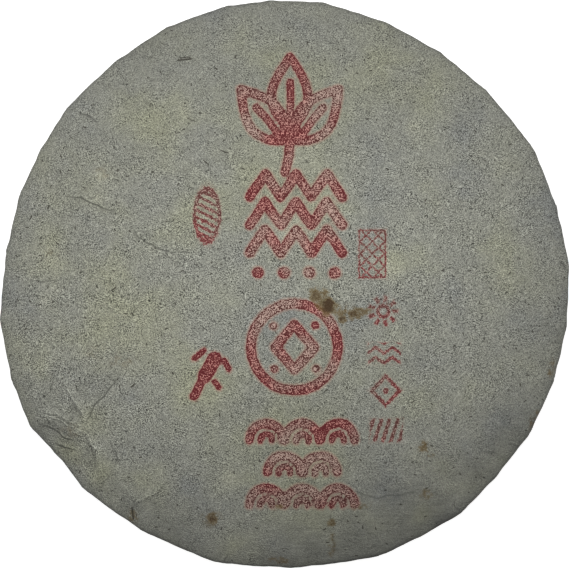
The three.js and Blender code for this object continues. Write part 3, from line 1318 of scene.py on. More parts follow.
    def _mottle(self) -> bpy.types.NodeTree:
        """Uneven pulp in four sizes, with fine curled threads and drawn-out streaks in it.

        Returns:
            The group, which gives broad patches, small clouds and streaks about 0.5, and the
            grain and the threads about 0.
        """
        sketch, given, target = self._open(
            "uneven_pulp", {"Place": self.VECTOR},
            ["Patch", "Cloud", "Grain", "Threads", "Streaks"],
        )
        place = given["Place"]
        patch = sketch.noise(place, self.PATCH_SIZE, detail=3, roughness=0.55)
        cloud = sketch.noise(place, self.CLOUD_SIZE, detail=3, roughness=0.6)
        sketch.feed(target.inputs["Patch"], patch)
        sketch.feed(target.inputs["Cloud"], cloud)
        coarse = sketch.noise(place, self.COARSE_GRAIN_SIZE, detail=0)
        moved = sketch.vector("ADD", place, self.FINE_GRAIN_SHIFT)
        fine = sketch.noise(moved, self.FINE_GRAIN_SIZE, detail=0)
        fine = sketch.math("MULTIPLY", fine, 1 - self.COARSE_GRAIN_SHARE)
        mixed = sketch.math("MULTIPLY_ADD", coarse, self.COARSE_GRAIN_SHARE, fine)
        least, most = self.LIVELY_RANGE
        lively = sketch.noise(place, self.LIVELY_SIZE, detail=1)
        lively = sketch.ramp(lively, low=0.35, high=0.65, start=least, end=most)
        grain = sketch.math("MULTIPLY", sketch.math("SUBTRACT", mixed, 0.5), lively)
        sketch.feed(target.inputs["Grain"], grain)
        bright = self._curl(sketch, place, shift=(0.11, 0.52, 0.3), size=self.BRIGHT_CURL_SIZE)
        dark = self._curl(sketch, place, shift=(0.62, 0.21, 0.8), size=self.DARK_CURL_SIZE)
        threads = sketch.math("SUBTRACT", bright, dark)
        sketch.feed(target.inputs["Threads"], sketch.math("MULTIPLY", threads, lively))
        drawn_out = sketch.vector("MULTIPLY", place, self.STREAK_SQUEEZE)
        streaks = sketch.noise(drawn_out, self.STREAK_SIZE, detail=2, roughness=0.6)
        sketch.feed(target.inputs["Streaks"], streaks)
        return sketch.tree

    def _curl(self, sketch: Sketch, place: Feed, shift: Feed, size: float) -> bpy.types.NodeSocket:
        """Short curled lines, where a noise crosses its middle.

        Args:
            sketch: The tree to work in.
            place: Where on the piece.
            shift: Moves the pattern.
            size: About the width of a curl, in metres.

        Returns:
            A mask, 1 on a line.
        """
        moved = sketch.vector("ADD", place, shift)
        off_middle = sketch.math("SUBTRACT", sketch.noise(moved, size, detail=0), 0.5)
        level = sketch.math("ABSOLUTE", off_middle)
        line = sketch.ramp(level, low=0.0, high=self.CURL_LINE, start=1.0, end=0.0)
        gaps = sketch.noise(moved, size * self.CURL_GAP_SHARE, detail=0)
        kept = sketch.ramp(gaps, low=0.45, high=0.6)
        return sketch.math("MULTIPLY", line, kept)

    def _stamp(self) -> bpy.types.NodeTree:
        """Stamped ink: squeezed dark to the edge of a stroke, broken by the paper inside it, and
        bled a little way out of it.

        Returns:
            The group, which gives how far pale ink, dark ink and the bled tint cover.
        """
        sketch, given, target = self._open(
            "stamped_ink",
            {"Place": self.VECTOR, "Distance": self.FLOAT, "Solidity": self.FLOAT,
             "Fray": self.FLOAT},
            ["Pale", "Dark", "Bled"],
        )
        frayed = sketch.noise(given["Place"], self.FRAY_SIZE, detail=1, roughness=0.6)
        frayed = sketch.math("SUBTRACT", frayed, 0.5)
        gap = sketch.math("MULTIPLY_ADD", frayed, given["Fray"], given["Distance"])
        inside = sketch.ramp(gap, -self.INK_EDGE, self.INK_EDGE, 1.0, 0.0)
        squeezed = sketch.ramp(gap, self.SQUEEZED_FROM, self.SQUEEZED_TO, 0.0, self.SQUEEZED_GAIN)
        moved = sketch.vector("ADD", given["Place"], self.SPECK_SHIFT)
        speck = sketch.noise(moved, self.SPECK_SIZE, detail=0)
        wet = sketch.math("MULTIPLY_ADD", given["Solidity"], self.SOLIDITY_GAIN, squeezed)
        level = sketch.math("ADD", speck, wet)
        pressed = sketch.ramp(level, *self.SPECK_RANGE)
        sketch.feed(target.inputs["Pale"], inside)
        sketch.feed(target.inputs["Dark"], sketch.math("MULTIPLY", inside, pressed))
        sketch.feed(target.inputs["Bled"], sketch.ramp(gap, *self.BLEED_RANGE, 1.0, 0.0))
        return sketch.tree

    def _stroke(self) -> bpy.types.NodeTree:
        """How far a place lies outside a thin round-ended stroke.

        Returns:
            The group, which gives the distance.
        """
        sketch, given, target = self._open(
            "thin_stroke",
            {"Place": self.VECTOR, "From": self.VECTOR, "To": self.VECTOR,
             "Half Width": self.FLOAT},
            ["Distance"],
        )
        along = sketch.vector("SUBTRACT", given["To"], given["From"])
        off = sketch.vector("SUBTRACT", given["Place"], given["From"])
        dots = (sketch.vector("DOT_PRODUCT", off, along), sketch.vector("DOT_PRODUCT", along, along))
        share = sketch.math("DIVIDE", *dots, clamp=True)
        gap = sketch.vector("SUBTRACT", off, sketch.vector("SCALE", along, share))
        distance = sketch.math("SUBTRACT", sketch.vector("LENGTH", gap), given["Half Width"])
        sketch.feed(target.inputs["Distance"], distance)
        return sketch.tree

    def _sun(self) -> bpy.types.NodeTree:
        """How far a place lies outside a thin ring with short rays round it.

        Returns:
            The group, which gives the distance.
        """
        sketch, given, target = self._open(
            "small_sun",
            {"Place": self.VECTOR, "Middle": self.VECTOR, "Radius": self.FLOAT,
             "Reach": self.FLOAT, "Turn": self.FLOAT, "Half Line": self.FLOAT},
            ["Distance"],
        )
        off = sketch.vector("SUBTRACT", given["Place"], given["Middle"])
        far = sketch.vector("LENGTH", off)
        parts = sketch.add("ShaderNodeSeparateXYZ", {0: off})
        turn = sketch.math("ARCTAN2", parts.outputs[1], parts.outputs[0])
        to_ray = sketch.math("PINGPONG", turn, given["Turn"])
        aside = sketch.math("MULTIPLY", far, sketch.math("SINE", to_ray))
        start = sketch.math("MULTIPLY", given["Radius"], self.RAY_START)
        past = sketch.math("MAXIMUM", sketch.math("SUBTRACT", start, far),
                           sketch.math("SUBTRACT", far, given["Reach"]))
        ray = sketch.math("MAXIMUM", sketch.math("SUBTRACT", aside, given["Half Line"]), past)
        ring = sketch.math("ABSOLUTE", sketch.math("SUBTRACT", far, given["Radius"]))
        ring = sketch.math("SUBTRACT", ring, given["Half Line"])
        sketch.feed(target.inputs["Distance"], sketch.math("MINIMUM", ring, ray))
        return sketch.tree

    def _line_rows(self, sketch: Sketch, value: Feed, pitch: Feed,
                   half_line: Feed) -> bpy.types.NodeSocket:
        """How far a place lies outside the nearest of many parallel lines.

        Args:
            sketch: The tree to work in.
            value: How far across the lines the place is.
            pitch: From one line to the next.
            half_line: Half of a line's width.

        Returns:
            The distance.
        """
        half_pitch = sketch.math("MULTIPLY", pitch, 0.5)
        gap = sketch.math("PINGPONG", value, half_pitch)
        return sketch.math("SUBTRACT", gap, half_line)

    def _box(self, sketch: Sketch, off: Feed, half_size: Feed) -> bpy.types.NodeSocket:
        """How far a place lies outside a box round the middle.

        Args:
            sketch: The tree to work in.
            off: The place, from the middle.
            half_size: Half of the box's sides.

        Returns:
            The distance, negative inside.
        """
        past = sketch.vector("SUBTRACT", sketch.vector("ABSOLUTE", off), half_size)
        sides = sketch.add("ShaderNodeSeparateXYZ", {0: past})
        return sketch.math("MAXIMUM", sides.outputs[0], sides.outputs[1])

    def _bars(self) -> bpy.types.NodeTree:
        """Slanting bars that fill a box, and its thin frame.

        Returns:
            The group, which gives how far a place lies outside the bars and outside the frame.
        """
        sketch, given, target = self._open(
            "barred_box",
            {"Place": self.VECTOR, "Middle": self.VECTOR, "Half Size": self.VECTOR,
             "Across": self.VECTOR, "Pitch": self.FLOAT, "Half Line": self.FLOAT},
            ["Bars", "Frame"],
        )
        off = sketch.vector("SUBTRACT", given["Place"], given["Middle"])
        box = self._box(sketch, off, given["Half Size"])
        rows = self._line_rows(sketch, sketch.vector("DOT_PRODUCT", off, given["Across"]),
                               given["Pitch"], given["Half Line"])
        frame_line = sketch.math("SUBTRACT", sketch.math("ABSOLUTE", box), given["Half Line"])
        sketch.feed(target.inputs["Bars"], sketch.math("MAXIMUM", rows, box))
        sketch.feed(target.inputs["Frame"], frame_line)
        return sketch.tree

    def _ripples(self) -> bpy.types.NodeTree:
        """Rows of small waves that fill a box.

        Returns:
            The group, which gives how far a place lies outside the waves.
        """
        sketch, given, target = self._open(
            "wave_rows",
            {"Place": self.VECTOR, "Middle": self.VECTOR, "Half Size": self.VECTOR,
             "Wave": self.FLOAT, "Pitch": self.FLOAT, "Half Line": self.FLOAT},
            ["Distance"],
        )
        off = sketch.vector("SUBTRACT", given["Place"], given["Middle"])
        parts = sketch.add("ShaderNodeSeparateXYZ", {0: off})
        to_crest = sketch.math("PINGPONG", parts.outputs[0], given["Wave"])
        rise = sketch.math("MULTIPLY", to_crest, self.RIPPLE_STEEPNESS)
        rows = self._line_rows(sketch, sketch.math("SUBTRACT", parts.outputs[1], rise),
                               given["Pitch"], given["Half Line"])
        box = self._box(sketch, off, given["Half Size"])
        sketch.feed(target.inputs["Distance"], sketch.math("MAXIMUM", rows, box))
        return sketch.tree

    def _lozenge(self) -> bpy.types.NodeTree:
        """A thin lozenge round a dot.

        Returns:
            The group, which gives how far a place lies outside both.
        """
        sketch, given, target = self._open(
            "dotted_lozenge",
            {"Place": self.VECTOR, "Middle": self.VECTOR, "Half Size": self.FLOAT,
             "Half Line": self.FLOAT},
            ["Distance"],
        )
        off = sketch.vector("SUBTRACT", given["Place"], given["Middle"])
        parts = sketch.add("ShaderNodeSeparateXYZ", {0: sketch.vector("ABSOLUTE", off)})
        past = sketch.math("SUBTRACT", sketch.math("ADD", parts.outputs[0], parts.outputs[1]),
                           given["Half Size"])
        side = sketch.math("MULTIPLY", sketch.math("ABSOLUTE", past), math.sqrt(0.5))
        line = sketch.math("SUBTRACT", side, given["Half Line"])
        dot = sketch.math("MULTIPLY_ADD", given["Half Line"], -self.LOZENGE_DOT,
                          sketch.vector("LENGTH", off))
        sketch.feed(target.inputs["Distance"], sketch.math("MINIMUM", line, dot))
        return sketch.tree

    def _oval(self) -> bpy.types.NodeTree:
        """A small oval seal with slanting bars inside its rim.

        Returns:
            The group, which gives how far a place lies outside its ink.
        """
        sketch, given, target = self._open(
            "barred_oval",
            {"Place": self.VECTOR, "Middle": self.VECTOR, "Half Size": self.VECTOR,
             "Pitch": self.FLOAT, "Half Line": self.FLOAT},
            ["Distance"],
        )
        off = sketch.vector("SUBTRACT", given["Place"], given["Middle"])
        squashed = sketch.vector("DIVIDE", off, given["Half Size"])
        slim = sketch.add("ShaderNodeSeparateXYZ", {0: given["Half Size"]}).outputs[0]
        past = sketch.math("SUBTRACT", sketch.vector("LENGTH", squashed), 1.0)
        oval = sketch.math("MULTIPLY", past, slim)
        rim = sketch.math("SUBTRACT", sketch.math("ABSOLUTE", oval), given["Half Line"])
        bars = self._line_rows(sketch, sketch.vector("DOT_PRODUCT", off, self.OVAL_ACROSS),
                               given["Pitch"], given["Half Line"])
        filled = sketch.math("MAXIMUM", bars, oval)
        sketch.feed(target.inputs["Distance"], sketch.math("MINIMUM", rim, filled))
        return sketch.tree


@dataclass(frozen=True)
class SmallPrint:
    """Small seals and faint marks beside the column, in millimetres from the middle."""

    lattice: Point = (30.2, 10.4)
    lattice_half: Point = (4.5, 8.1)
    lattice_across: tuple[tuple[float, float, float], ...] = ((0.71, 0.71, 0.0), (0.71, -0.71, 0.0))
    oval: Point = (-26.7, 23.7)
    oval_half: Point = (4.3, 8.9)
    sun: Point = (34.0, -9.4)
    ripples: Point = (34.3, -23.9)
    lozenge: Point = (34.9, -36.8)
    hatching: Point = (35.2, -50.6)
    thin: float = 0.6

    def distance(self, sketch: Sketch, groups: GroupBench, plan: Feed) -> bpy.types.NodeSocket:
        """Measure how far places lie outside the small print.

        Args:
            sketch: The material's tree.
            groups: The node groups.
            plan: Where in the plan, in millimetres.

        Returns:
            The distance in millimetres.
        """
        lattice = [
            sketch.group(groups.bars, place=plan, middle=(*self.lattice, 0.0), across=across,
                         half_size=(*self.lattice_half, 1.0), pitch=3.0, half_line=0.26)
            for across in self.lattice_across
        ]
        marks = [
            sketch.group(groups.sun, place=plan, middle=(*self.sun, 0.0), radius=1.9, reach=5.2,
                         turn=math.pi / 9, half_line=self.thin),
            sketch.group(groups.ripples, place=plan, middle=(*self.ripples, 0.0), wave=2.9,
                         half_size=(5.6, 3.6, 1.0), pitch=3.4, half_line=self.thin),
            sketch.group(groups.lozenge, place=plan, middle=(*self.lozenge, 0.0), half_size=4.9,
                         half_line=self.thin),
            sketch.group(groups.bars, place=plan, middle=(*self.hatching, 0.0), pitch=2.7,
                         across=(0.95, -0.3, 0.0), half_size=(5.6, 4.0, 1.0),
                         half_line=self.thin),
        ]
        nearest = sketch.math("MINIMUM", lattice[0].outputs["Bars"], lattice[0].outputs["Frame"])
        for one in (lattice[1], *marks):
            nearest = sketch.math("MINIMUM", nearest, one.outputs[0])
        return nearest

    def seal(self, sketch: Sketch, groups: GroupBench, plan: Feed) -> bpy.types.NodeSocket:
        """Measure how far places lie outside the oval seal's ink.

        Args:
            sketch: The material's tree.
            groups: The node groups.
            plan: Where in the plan, in millimetres.

        Returns:
            The distance in millimetres.
        """
        return sketch.group(groups.oval, place=plan, middle=(*self.oval, 0.0),
                            half_size=(*self.oval_half, 1.0), pitch=2.2, half_line=0.5).outputs[0]


@dataclass(frozen=True)
class Blemishes:
    """Stray fibres in the face's paper, in millimetres from the middle."""

    fibres: tuple[Stroke, ...] = (
        Stroke(0.34, ((-37.1, 78.0), (-32.6, 78.5))),
        Stroke(0.2, ((-36.4, 78.9), (-33.0, 79.2))),
        Stroke(0.2, ((-21.9, 46.1), (-19.4, 45.3))),
        Stroke(0.22, ((-27.9, 42.7), (-26.2, 41.2))),
        Stroke(0.3, ((-53.5, -78.4), (-53.2, -82.6))),
        Stroke(0.16, ((-33.5, 57.4), (-31.0, 56.4))),
        Stroke(0.3, ((-52.9, -35.6), (-51.9, -34.6))),
        Stroke(0.34, ((-82.6, 26.4), (-82.2, 27.4))),
        Stroke(0.26, ((-89.2, 22.6), (-88.6, 23.8))),
        Stroke(0.34, ((-57.9, 39.2), (-57.8, 39.7))),
        Stroke(0.28, ((-59.8, -2.2), (-58.4, -1.2))),
        Stroke(0.28, ((-52.8, -10.0), (-52.4, -10.6))),
        Stroke(0.26, ((-65.2, -0.6), (-64.8, -1.2))),
    )

    def fibre_mask(self, sketch: Sketch, groups: GroupBench, plan: Feed) -> bpy.types.NodeSocket:
        """Find the stray dark fibres.

        Args:
            sketch: The material's tree.
            groups: The node groups.
            plan: Where in the plan, in millimetres.

        Returns:
            A mask, 1 on a fibre.
        """
        nearest: Feed = 1.0
        for stroke in self.fibres:
            for start, end in line_pieces(stroke.points):
                ends = {"from": (*start, 0.0), "to": (*end, 0.0)}
                line = sketch.group(groups.stroke, place=plan, half_width=stroke.half_width, **ends)
                nearest = sketch.math("MINIMUM", nearest, line.outputs[0])
        return sketch.ramp(nearest, low=-0.1, high=0.1, start=1.0, end=0.0)


@dataclass(frozen=True)
class CottonPaperFinish:
    """Handmade cotton paper: grey green, grainy, flecked, stained and stamped in red."""

    grey: Colour = linear(133, 134, 125)
    olive: Colour = linear(136, 137, 118)
    bluish: Colour = linear(127, 129, 125)
    pale: Colour = linear(168, 168, 148)
    fleck: Colour = linear(58, 55, 47)
    bright_fibre: Colour = linear(176, 176, 162)
    pale_ink: Colour = linear(184, 157, 146)
    dark_ink: Colour = linear(72, 29, 23)
    fresh_pale_ink: Colour = linear(196, 126, 120)
    fresh_dark_ink: Colour = linear(88, 13, 20)
    bled_ink: Colour = linear(172, 135, 118)
    faint_stain: Colour = linear(102, 83, 42)
    stain: Colour = linear(56, 35, 15)
    grain_contrast: float = 3.05
    thread_contrast: float = 0.15
    cloud_contrast: float = 0.3
    patch_contrast: float = 0.3
    olive_drift: float = 2.1
    pale_share: float = 0.5
    smoothing: float = -0.58
    # How far each kind of fleck covers
    short_fleck: float = 0.95
    long_fleck: float = 0.6
    bright_fleck: float = 0.5
    stray_fibre: float = 0.85
    # Ink: how far each layer covers, and how much of that the small print has
    bled_share: Point = (0.5, 0.4)
    pale_ink_share: Point = (0.8, 0.95)
    dark_ink_share: Point = (0.97, 0.95)
    stain_size: float = 2.6 * MM
    stain_raggedness: float = 3.2
    faint_stain_share: float = 0.74
    stain_share: float = 0.85
    # Creases: how far they wander, how wide their line and the painted shade beside it are, in mm, and
    # how much each mark lightens or darkens the paper; the crease lines, their sides, the swelling,
    # the fold recesses, the rim and part of the soiling are painted light and shade
    crease_wander: float = 2.4
    crease_line: float = 0.5
    crease_side: float = 0.8
    crease_side_width: float = 0.7
    crease_line_painted_light: float = 0.48
    valley_painted_shade: float = 1.0
    crease_side_painted_light: float = -0.52
    swelling_painted_light: float = 0.2
    fold_edge_light: float = 0.16
    fold_depth_light: float = -0.22
    rim_shade_light: float = -0.34
    soil_and_shade_light: float = -0.57
    streak_light: float = 0.5
    # Relief: what each pattern adds to the bump, and the bump's height
    grain_relief: float = 2.0
    cloud_relief: float = 0.8
    thread_relief: float = 0.25
    crease_relief: float = 2.2
    fleck_relief: float = 0.35
    bump_height: float = 0.16 * MM
    roughness: float = 0.88
    grain_roughness: float = 0.2
    ink_roughness: float = -0.1
    specular: float = 0.25
    sheen: float = 0.08
    sheen_roughness: float = 0.6
    small_print: SmallPrint = field(default_factory=SmallPrint)
    blemishes: Blemishes = field(default_factory=Blemishes)

    def material(self, groups: GroupBench) -> bpy.types.Material:
        """Make the paper's material.

        Args:
            groups: The node groups.

        Returns:
            The material.
        """
        material = bpy.data.materials.new("cotton_paper")
        material.use_nodes = True
        sketch = Sketch(material.node_tree)
        shader = material.node_tree.nodes["Principled BSDF"]
        place = sketch.add("ShaderNodeTexCoord").outputs["Object"]
        level = sketch.vector("MULTIPLY", place, (1 / MM, 1 / MM, 0.0))
        pulp = sketch.group(groups.mottle, place=place)
        flecks = self._flecks(sketch, groups, place)

        colour = self._pulp_colour(sketch, pulp)
        colour = sketch.mix(flecks["bright"], colour, self.bright_fibre)
        colour = sketch.mix(flecks["dark"], colour, self.fleck)
        colour, wet = self._inked(sketch, groups, colour, place, level)
        colour = self._stained(sketch, groups, colour, place, level)
        colour, height = self._creased(sketch, colour, pulp)

        relief = sketch.math("MULTIPLY_ADD", flecks["bright"], self.fleck_relief, height)
        bump = sketch.add("ShaderNodeBump", {"Height": relief, "Distance": self.bump_height})
        rough = sketch.math("MULTIPLY_ADD", pulp.outputs["Grain"], self.grain_roughness,
                            self.roughness)
        rough = sketch.math("MULTIPLY_ADD", wet, self.ink_roughness, rough)
        sketch.feed(shader.inputs["Base Color"], colour)
        sketch.feed(shader.inputs["Roughness"], rough)
        sketch.feed(shader.inputs["Normal"], bump.outputs[0])
        shader.inputs["Specular IOR Level"].default_value = self.specular
        shader.inputs["Sheen Weight"].default_value = self.sheen
        shader.inputs["Sheen Roughness"].default_value = self.sheen_roughness
        return material

    def _flecks(self, sketch: Sketch, groups: GroupBench,
                place: Feed) -> dict[str, bpy.types.NodeSocket]:
        """Scatter dark and bright fibres over the level parts of the paper.

        Args:
            sketch: The material's tree.
            groups: The node groups.
            place: Where on the piece.

        Returns:
            The masks of the dark and of the bright ones.
        """
        normal = sketch.add("ShaderNodeNewGeometry").outputs["Normal"]
        parts = sketch.add("ShaderNodeSeparateXYZ", {0: normal})
        level = sketch.ramp(sketch.math("ABSOLUTE", parts.outputs[2]), low=0.45, high=0.8)
        short = sketch.group(groups.fibres, place=place, spacing=5.0 * MM, length=0.6 * MM,
                             width=0.26 * MM, share=0.32).outputs[0]
        long = sketch.group(groups.fibres, place=place, spacing=11 * MM, length=1.9 * MM,
                            width=0.16 * MM, share=0.45).outputs[0]
        bright = sketch.group(groups.fibres, place=place, spacing=5.2 * MM, length=1.3 * MM,
                              width=0.17 * MM, share=0.5).outputs[0]
        dark = sketch.math("MAXIMUM", sketch.math("MULTIPLY", short, self.short_fleck),
                           sketch.math("MULTIPLY", long, self.long_fleck))
        bright = sketch.math("MULTIPLY", bright, self.bright_fleck)
        return {
            "dark": sketch.math("MULTIPLY", dark, level),
            "bright": sketch.math("MULTIPLY", bright, level),
        }

    def _pulp_colour(self, sketch: Sketch, pulp: bpy.types.Node) -> bpy.types.NodeSocket:
        """Colour the bare paper.

        Args:
            sketch: The material's tree.
            pulp: The uneven pulp's group node.

        Returns:
            The colour.
        """
        patch, cloud, grain, threads, _ = pulp.outputs
        drift = sketch.math("MULTIPLY_ADD", sketch.math("SUBTRACT", patch, 0.5),
                            self.olive_drift, sketch.attribute("olive"))
        colour = sketch.mix(sketch.ramp(drift, low=-0.1, high=0.9), self.grey, self.olive)
        colour = sketch.mix(sketch.ramp(drift, low=0.0, high=-0.5), colour, self.bluish)
        faded = sketch.math("MULTIPLY", sketch.attribute("pale"), self.pale_share)
        colour = sketch.mix(faded, colour, self.pale)
        clouded = sketch.math("MULTIPLY_ADD", sketch.math("SUBTRACT", cloud, 0.5),
                              self.cloud_contrast, 1.0)
        clouded = sketch.math("MULTIPLY_ADD", sketch.math("SUBTRACT", patch, 0.5),
                              self.patch_contrast, clouded)
        worn_smooth = sketch.math("MULTIPLY_ADD", sketch.attribute("soil_and_shade"), self.smoothing, 1.0)
        grain = sketch.math("MULTIPLY", grain, worn_smooth)
        grained = sketch.math("MULTIPLY_ADD", grain, self.grain_contrast, clouded)
        threaded = sketch.math("MULTIPLY_ADD", threads, self.thread_contrast, grained)
        return sketch.brighten(colour, threaded)

    def _inked(self, sketch: Sketch, groups: GroupBench, colour: Feed, place: Feed,
               level: Feed) -> tuple[bpy.types.NodeSocket, bpy.types.NodeSocket]:
        """Stamp the print on the face.

        Args:
            sketch: The material's tree.
            groups: The node groups.
            colour: The paper's colour.
            place: Where on the piece.
            level: The same place in the plan, in millimetres.

        Returns:
            The colour with the ink on it, and how far the dark ink covers.
        """
        face = sketch.attribute("on_face")
        broad = sketch.group(groups.stamp, place=place, distance=sketch.attribute("print_distance"),
                             solidity=sketch.attribute("print_solidity"), fray=0.6)
        small = sketch.group(groups.stamp, place=place, fray=1.3, solidity=0.55,
                             distance=self.small_print.distance(sketch, groups, level))
        seal = sketch.group(groups.stamp, place=place, fray=1.5, solidity=0.5,
                            distance=self.small_print.seal(sketch, groups, level))
        fresh = sketch.ramp(sketch.attribute("print_solidity"), low=0.2, high=0.8)
        pale_ink = sketch.mix(fresh, self.pale_ink, self.fresh_pale_ink)
        dark_ink = sketch.mix(fresh, self.dark_ink, self.fresh_dark_ink)
        for name, ink, (share, small_share) in (
            ("Bled", self.bled_ink, self.bled_share),
            ("Pale", pale_ink, self.pale_ink_share),
            ("Dark", dark_ink, self.dark_ink_share),
        ):
            faint = sketch.math("MAXIMUM", small.outputs[name], seal.outputs[name])
            faint = sketch.math("MULTIPLY", faint, small_share)
            cover = sketch.math("MAXIMUM", broad.outputs[name], faint)
            cover = sketch.math("MULTIPLY", sketch.math("MULTIPLY", cover, face), share)
            colour = sketch.mix(cover, colour, ink)
        return colour, cover

    def _stained(self, sketch: Sketch, groups: GroupBench, colour: Feed, place: Feed,
                 level: Feed) -> bpy.types.NodeSocket:
        """Add the stains and the stray fibres.

        Args:
            sketch: The material's tree.
            groups: The node groups.
            colour: The paper's colour.
            place: Where on the piece.
            level: The same place in the plan, in millimetres.

        Returns:
            The colour with them on it.
        """
        face = sketch.attribute("on_face")
        ragged = sketch.noise(place, self.stain_size, detail=4, roughness=0.75)
        density = sketch.attribute("stain")
        torn = sketch.math("MULTIPLY_ADD", sketch.math("SUBTRACT", ragged, 0.5),
                           self.stain_raggedness, density)
        halo = sketch.ramp(torn, low=-0.1, high=0.65, end=self.faint_stain_share)
        halo = sketch.math("MULTIPLY", halo, sketch.ramp(density, low=0.0, high=0.3))
        colour = sketch.mix(halo, colour, self.faint_stain)
        core = sketch.ramp(torn, low=0.45, high=1.1, end=self.stain_share)
        core = sketch.math("MULTIPLY", core, sketch.ramp(density, low=0.2, high=0.6))
        colour = sketch.mix(core, colour, self.stain)
        fibre = sketch.math("MULTIPLY", self.blemishes.fibre_mask(sketch, groups, level), face)
        return sketch.mix(sketch.math("MULTIPLY", fibre, self.stray_fibre), colour, self.fleck)

    def _creased(self, sketch: Sketch, colour: Feed,
                 pulp: bpy.types.Node) -> tuple[bpy.types.NodeSocket, bpy.types.NodeSocket]:
        """Mark creases with painted highlights and shade, lighten worn folded edges, darken the
        recesses behind them with dust and painted shade, add soiling and painted shade, and give the
        surface its relief.

        Args:
            sketch: The material's tree.
            colour: The paper's colour.
            pulp: The uneven pulp's group node.

        Returns:
            The colour with the marks on it, and the height of the relief.
        """
        wander = sketch.math("SUBTRACT", pulp.outputs["Cloud"], 0.5)
        gap = sketch.math("MULTIPLY_ADD", wander, self.crease_wander,
                          sketch.attribute("crease_distance"))
        tall = sketch.attribute("crease_height")
        line = sketch.ramp(sketch.math("ABSOLUTE", gap), 0.0, self.crease_line, 1.0, 0.0)
        broken = sketch.ramp(pulp.outputs["Grain"], low=-0.08, high=0.04, start=0.45)
        line = sketch.math("MULTIPLY", line, broken)
        # Painted highlight along ridges and painted shade along valleys, which also goes into the bump
        crease_line_height = sketch.math("MULTIPLY", line, tall)
        # Painted shade that deepens the dark line in valleys
        valley_line = sketch.math("MULTIPLY", line, sketch.math("MINIMUM", tall, 0.0))
        # Painted shade on one side of a ridge, and painted light on that side of a valley
        off_side = sketch.math("ABSOLUTE", sketch.math("SUBTRACT", gap, self.crease_side))
        beside = sketch.ramp(off_side, 0.0, self.crease_side_width, 1.0, 0.0)
        off_line = sketch.math("MULTIPLY", beside, tall)
        # Soiling and painted shade darken the paper, broken into streaks
        streaked = sketch.math("MULTIPLY_ADD", pulp.outputs["Streaks"], self.streak_light,
                               self.soil_and_shade_light)
        marks = (
            (crease_line_height, self.crease_line_painted_light),
            (valley_line, self.valley_painted_shade),
            (off_line, self.crease_side_painted_light),
            (sketch.attribute("fold_edge"), self.fold_edge_light),
            # Dust and painted shade in the recesses behind the folds
            (sketch.attribute("fold_depth"), self.fold_depth_light),
            # Painted light on raised paper and painted shade on sunken paper
            (sketch.attribute("crease_swelling"), self.swelling_painted_light),
            (sketch.attribute("soil_and_shade"), streaked),
            # Painted shade along the rim
            (sketch.attribute("rim_shade"), self.rim_shade_light),
        )
        shade: Feed = 1.0
        for mark, light in marks:
            shade = sketch.math("MULTIPLY_ADD", mark, light, shade)
        relief = sketch.math("MULTIPLY", pulp.outputs["Grain"], self.grain_relief)
        for pattern, height in (
            (pulp.outputs["Cloud"], self.cloud_relief),
            (pulp.outputs["Threads"], self.thread_relief),
            (crease_line_height, self.crease_relief),
        ):
            relief = sketch.math("MULTIPLY_ADD", pattern, height, relief)
        return sketch.brighten(colour, shade), relief


@dataclass(frozen=True)
class TeaCake:
    """The wrapped cake: its one piece of paper, dressed and set in the frame."""

    wrapper: WrapperPiece = field(default_factory=WrapperPiece)
    paper: CottonPaperFinish = field(default_factory=CottonPaperFinish)

    def build(self, groups: GroupBench) -> bpy.types.Object:
        """Make the wrapper and give it its finish.

        Args:
            groups: The node groups.

        Returns:
            The wrapper's object.
        """
        piece = self.wrapper.build()
        piece.data.materials.append(self.paper.material(groups))
        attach(piece, BODY)
        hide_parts(NODE)
        return piece


@dataclass(frozen=True)
class SoftLight:
    """One large soft light, aimed at the middle of the cake."""

    name: str
    place: tuple[float, float, float]
    size: float
    power: float

    def build(self, aim: Vector) -> None:
        """Hang the light.

        Args:
            aim: The point that it faces.
        """
        lamp = bpy.data.lights.new(self.name, "AREA")
        lamp.shape = "DISK"
        lamp.size = self.size
        lamp.energy = self.power
        light = bpy.data.objects.new(self.name, lamp)
        light.visible_camera = False
        light.location = self.place
        light.rotation_euler = (aim - light.location).to_track_quat("-Z", "Y").to_euler()
        bpy.context.scene.collection.objects.link(light)


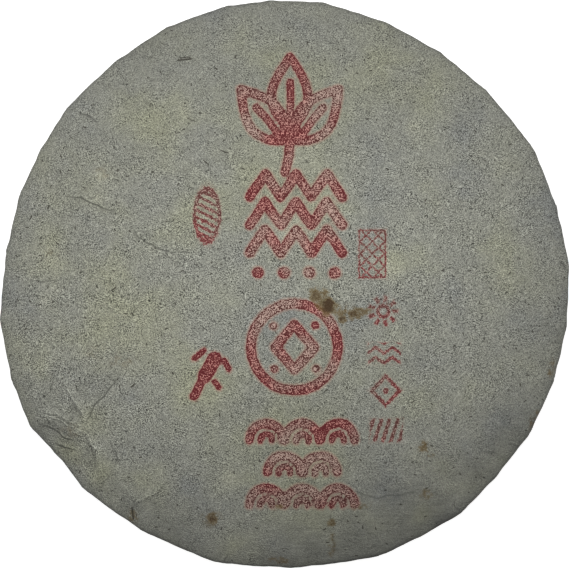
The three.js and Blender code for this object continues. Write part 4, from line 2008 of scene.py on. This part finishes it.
@dataclass(frozen=True)
class Studio:
    """Pale floor, a near soft lamp over the far side, two low ones beside it, and a camera above."""

    floor_size: float = 30.0
    floor_colour: Colour = linear(190, 190, 189)
    floor_roughness: float = 0.9
    floor_specular: float = 0.1
    # How bright the floor and the room look to the camera, over their own light
    floor_glow: float = 1.02
    pale: Colour = linear(246, 246, 245)
    world_strength: float = 0.17
    lights: tuple[SoftLight, ...] = (
        SoftLight("near_softbox", (-0.014, 0.068, 0.35), 0.16, 1.17),
        SoftLight("left_fill", (-0.6, 0.3, 0.13), 0.2, 0.68),
        SoftLight("right_fill", (0.6, 0.3, 0.13), 0.2, 0.64),
    )
    lens: float = 100.0
    sensor: float = 36.0
    view_width: float = 0.2012

    def build(self) -> None:
        """Lay the floor, light it and set the camera."""
        low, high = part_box(NODE)
        middle = (low + high) / 2
        self._floor(low.z)
        self._world()
        for light in self.lights:
            light.build(middle)
        self._camera(middle, CakeForm().rim_height)
        bpy.context.scene.view_settings.view_transform = "Standard"

    def _floor(self, height: float) -> None:
        """Lay the floor, which the camera sees white.

        Args:
            height: The level that the cake rests on.
        """
        grid = bmesh.new()
        bmesh.ops.create_grid(grid, x_segments=1, y_segments=1, size=self.floor_size / 2)
        mesh = bpy.data.meshes.new("floor")
        grid.to_mesh(mesh)
        grid.free()
        floor = bpy.data.objects.new("floor", mesh)
        floor.location.z = height
        material = bpy.data.materials.new("pale_floor")
        material.use_nodes = True
        shader = material.node_tree.nodes["Principled BSDF"]
        shader.inputs["Base Color"].default_value = self.floor_colour
        shader.inputs["Roughness"].default_value = self.floor_roughness
        shader.inputs["Specular IOR Level"].default_value = self.floor_specular
        sketch = Sketch(material.node_tree)
        seen = sketch.add("ShaderNodeLightPath").outputs["Is Camera Ray"]
        glow = sketch.math("MULTIPLY", seen, self.floor_glow)
        shader.inputs["Emission Color"].default_value = self.pale
        sketch.feed(shader.inputs["Emission Strength"], glow)
        mesh.materials.append(material)
        bpy.context.scene.collection.objects.link(floor)

    def _world(self) -> None:
        """Fill the room with even pale light, and let the camera see it white."""
        world = bpy.data.worlds.new("pale_room")
        world.use_nodes = True
        background = world.node_tree.nodes["Background"]
        background.inputs["Color"].default_value = self.pale
        sketch = Sketch(world.node_tree)
        seen = sketch.add("ShaderNodeLightPath").outputs["Is Camera Ray"]
        strength = sketch.math("MULTIPLY_ADD", seen, self.floor_glow, self.world_strength)
        sketch.feed(background.inputs["Strength"], strength)
        bpy.context.scene.world = world

    def _camera(self, middle: Vector, rim_height: float) -> None:
        """Set the camera straight above the cake.

        Args:
            middle: The middle of the cake.
            rim_height: Height of the rim, which the view's width is measured at.
        """
        lens = bpy.data.cameras.new("camera")
        lens.lens = self.lens
        lens.sensor_width = self.sensor
        camera = bpy.data.objects.new("camera", lens)
        away = self.view_width * self.lens / self.sensor
        camera.location = (middle.x, middle.y, rim_height + away)
        bpy.context.scene.collection.objects.link(camera)
        bpy.context.scene.camera = camera


def main() -> None:
    """Build the tea cake and the studio round it."""
    logging.basicConfig(level=logging.INFO, format="%(name)s %(message)s")
    LOG.info("the frame holds %s", ", ".join(frame["nodes"]))
    piece = TeaCake().build(GroupBench())
    LOG.info("%s: %d points, %d faces", piece.name, len(piece.data.vertices),
             len(piece.data.polygons))
    Studio().build()


if __name__ == "__main__":
    main()
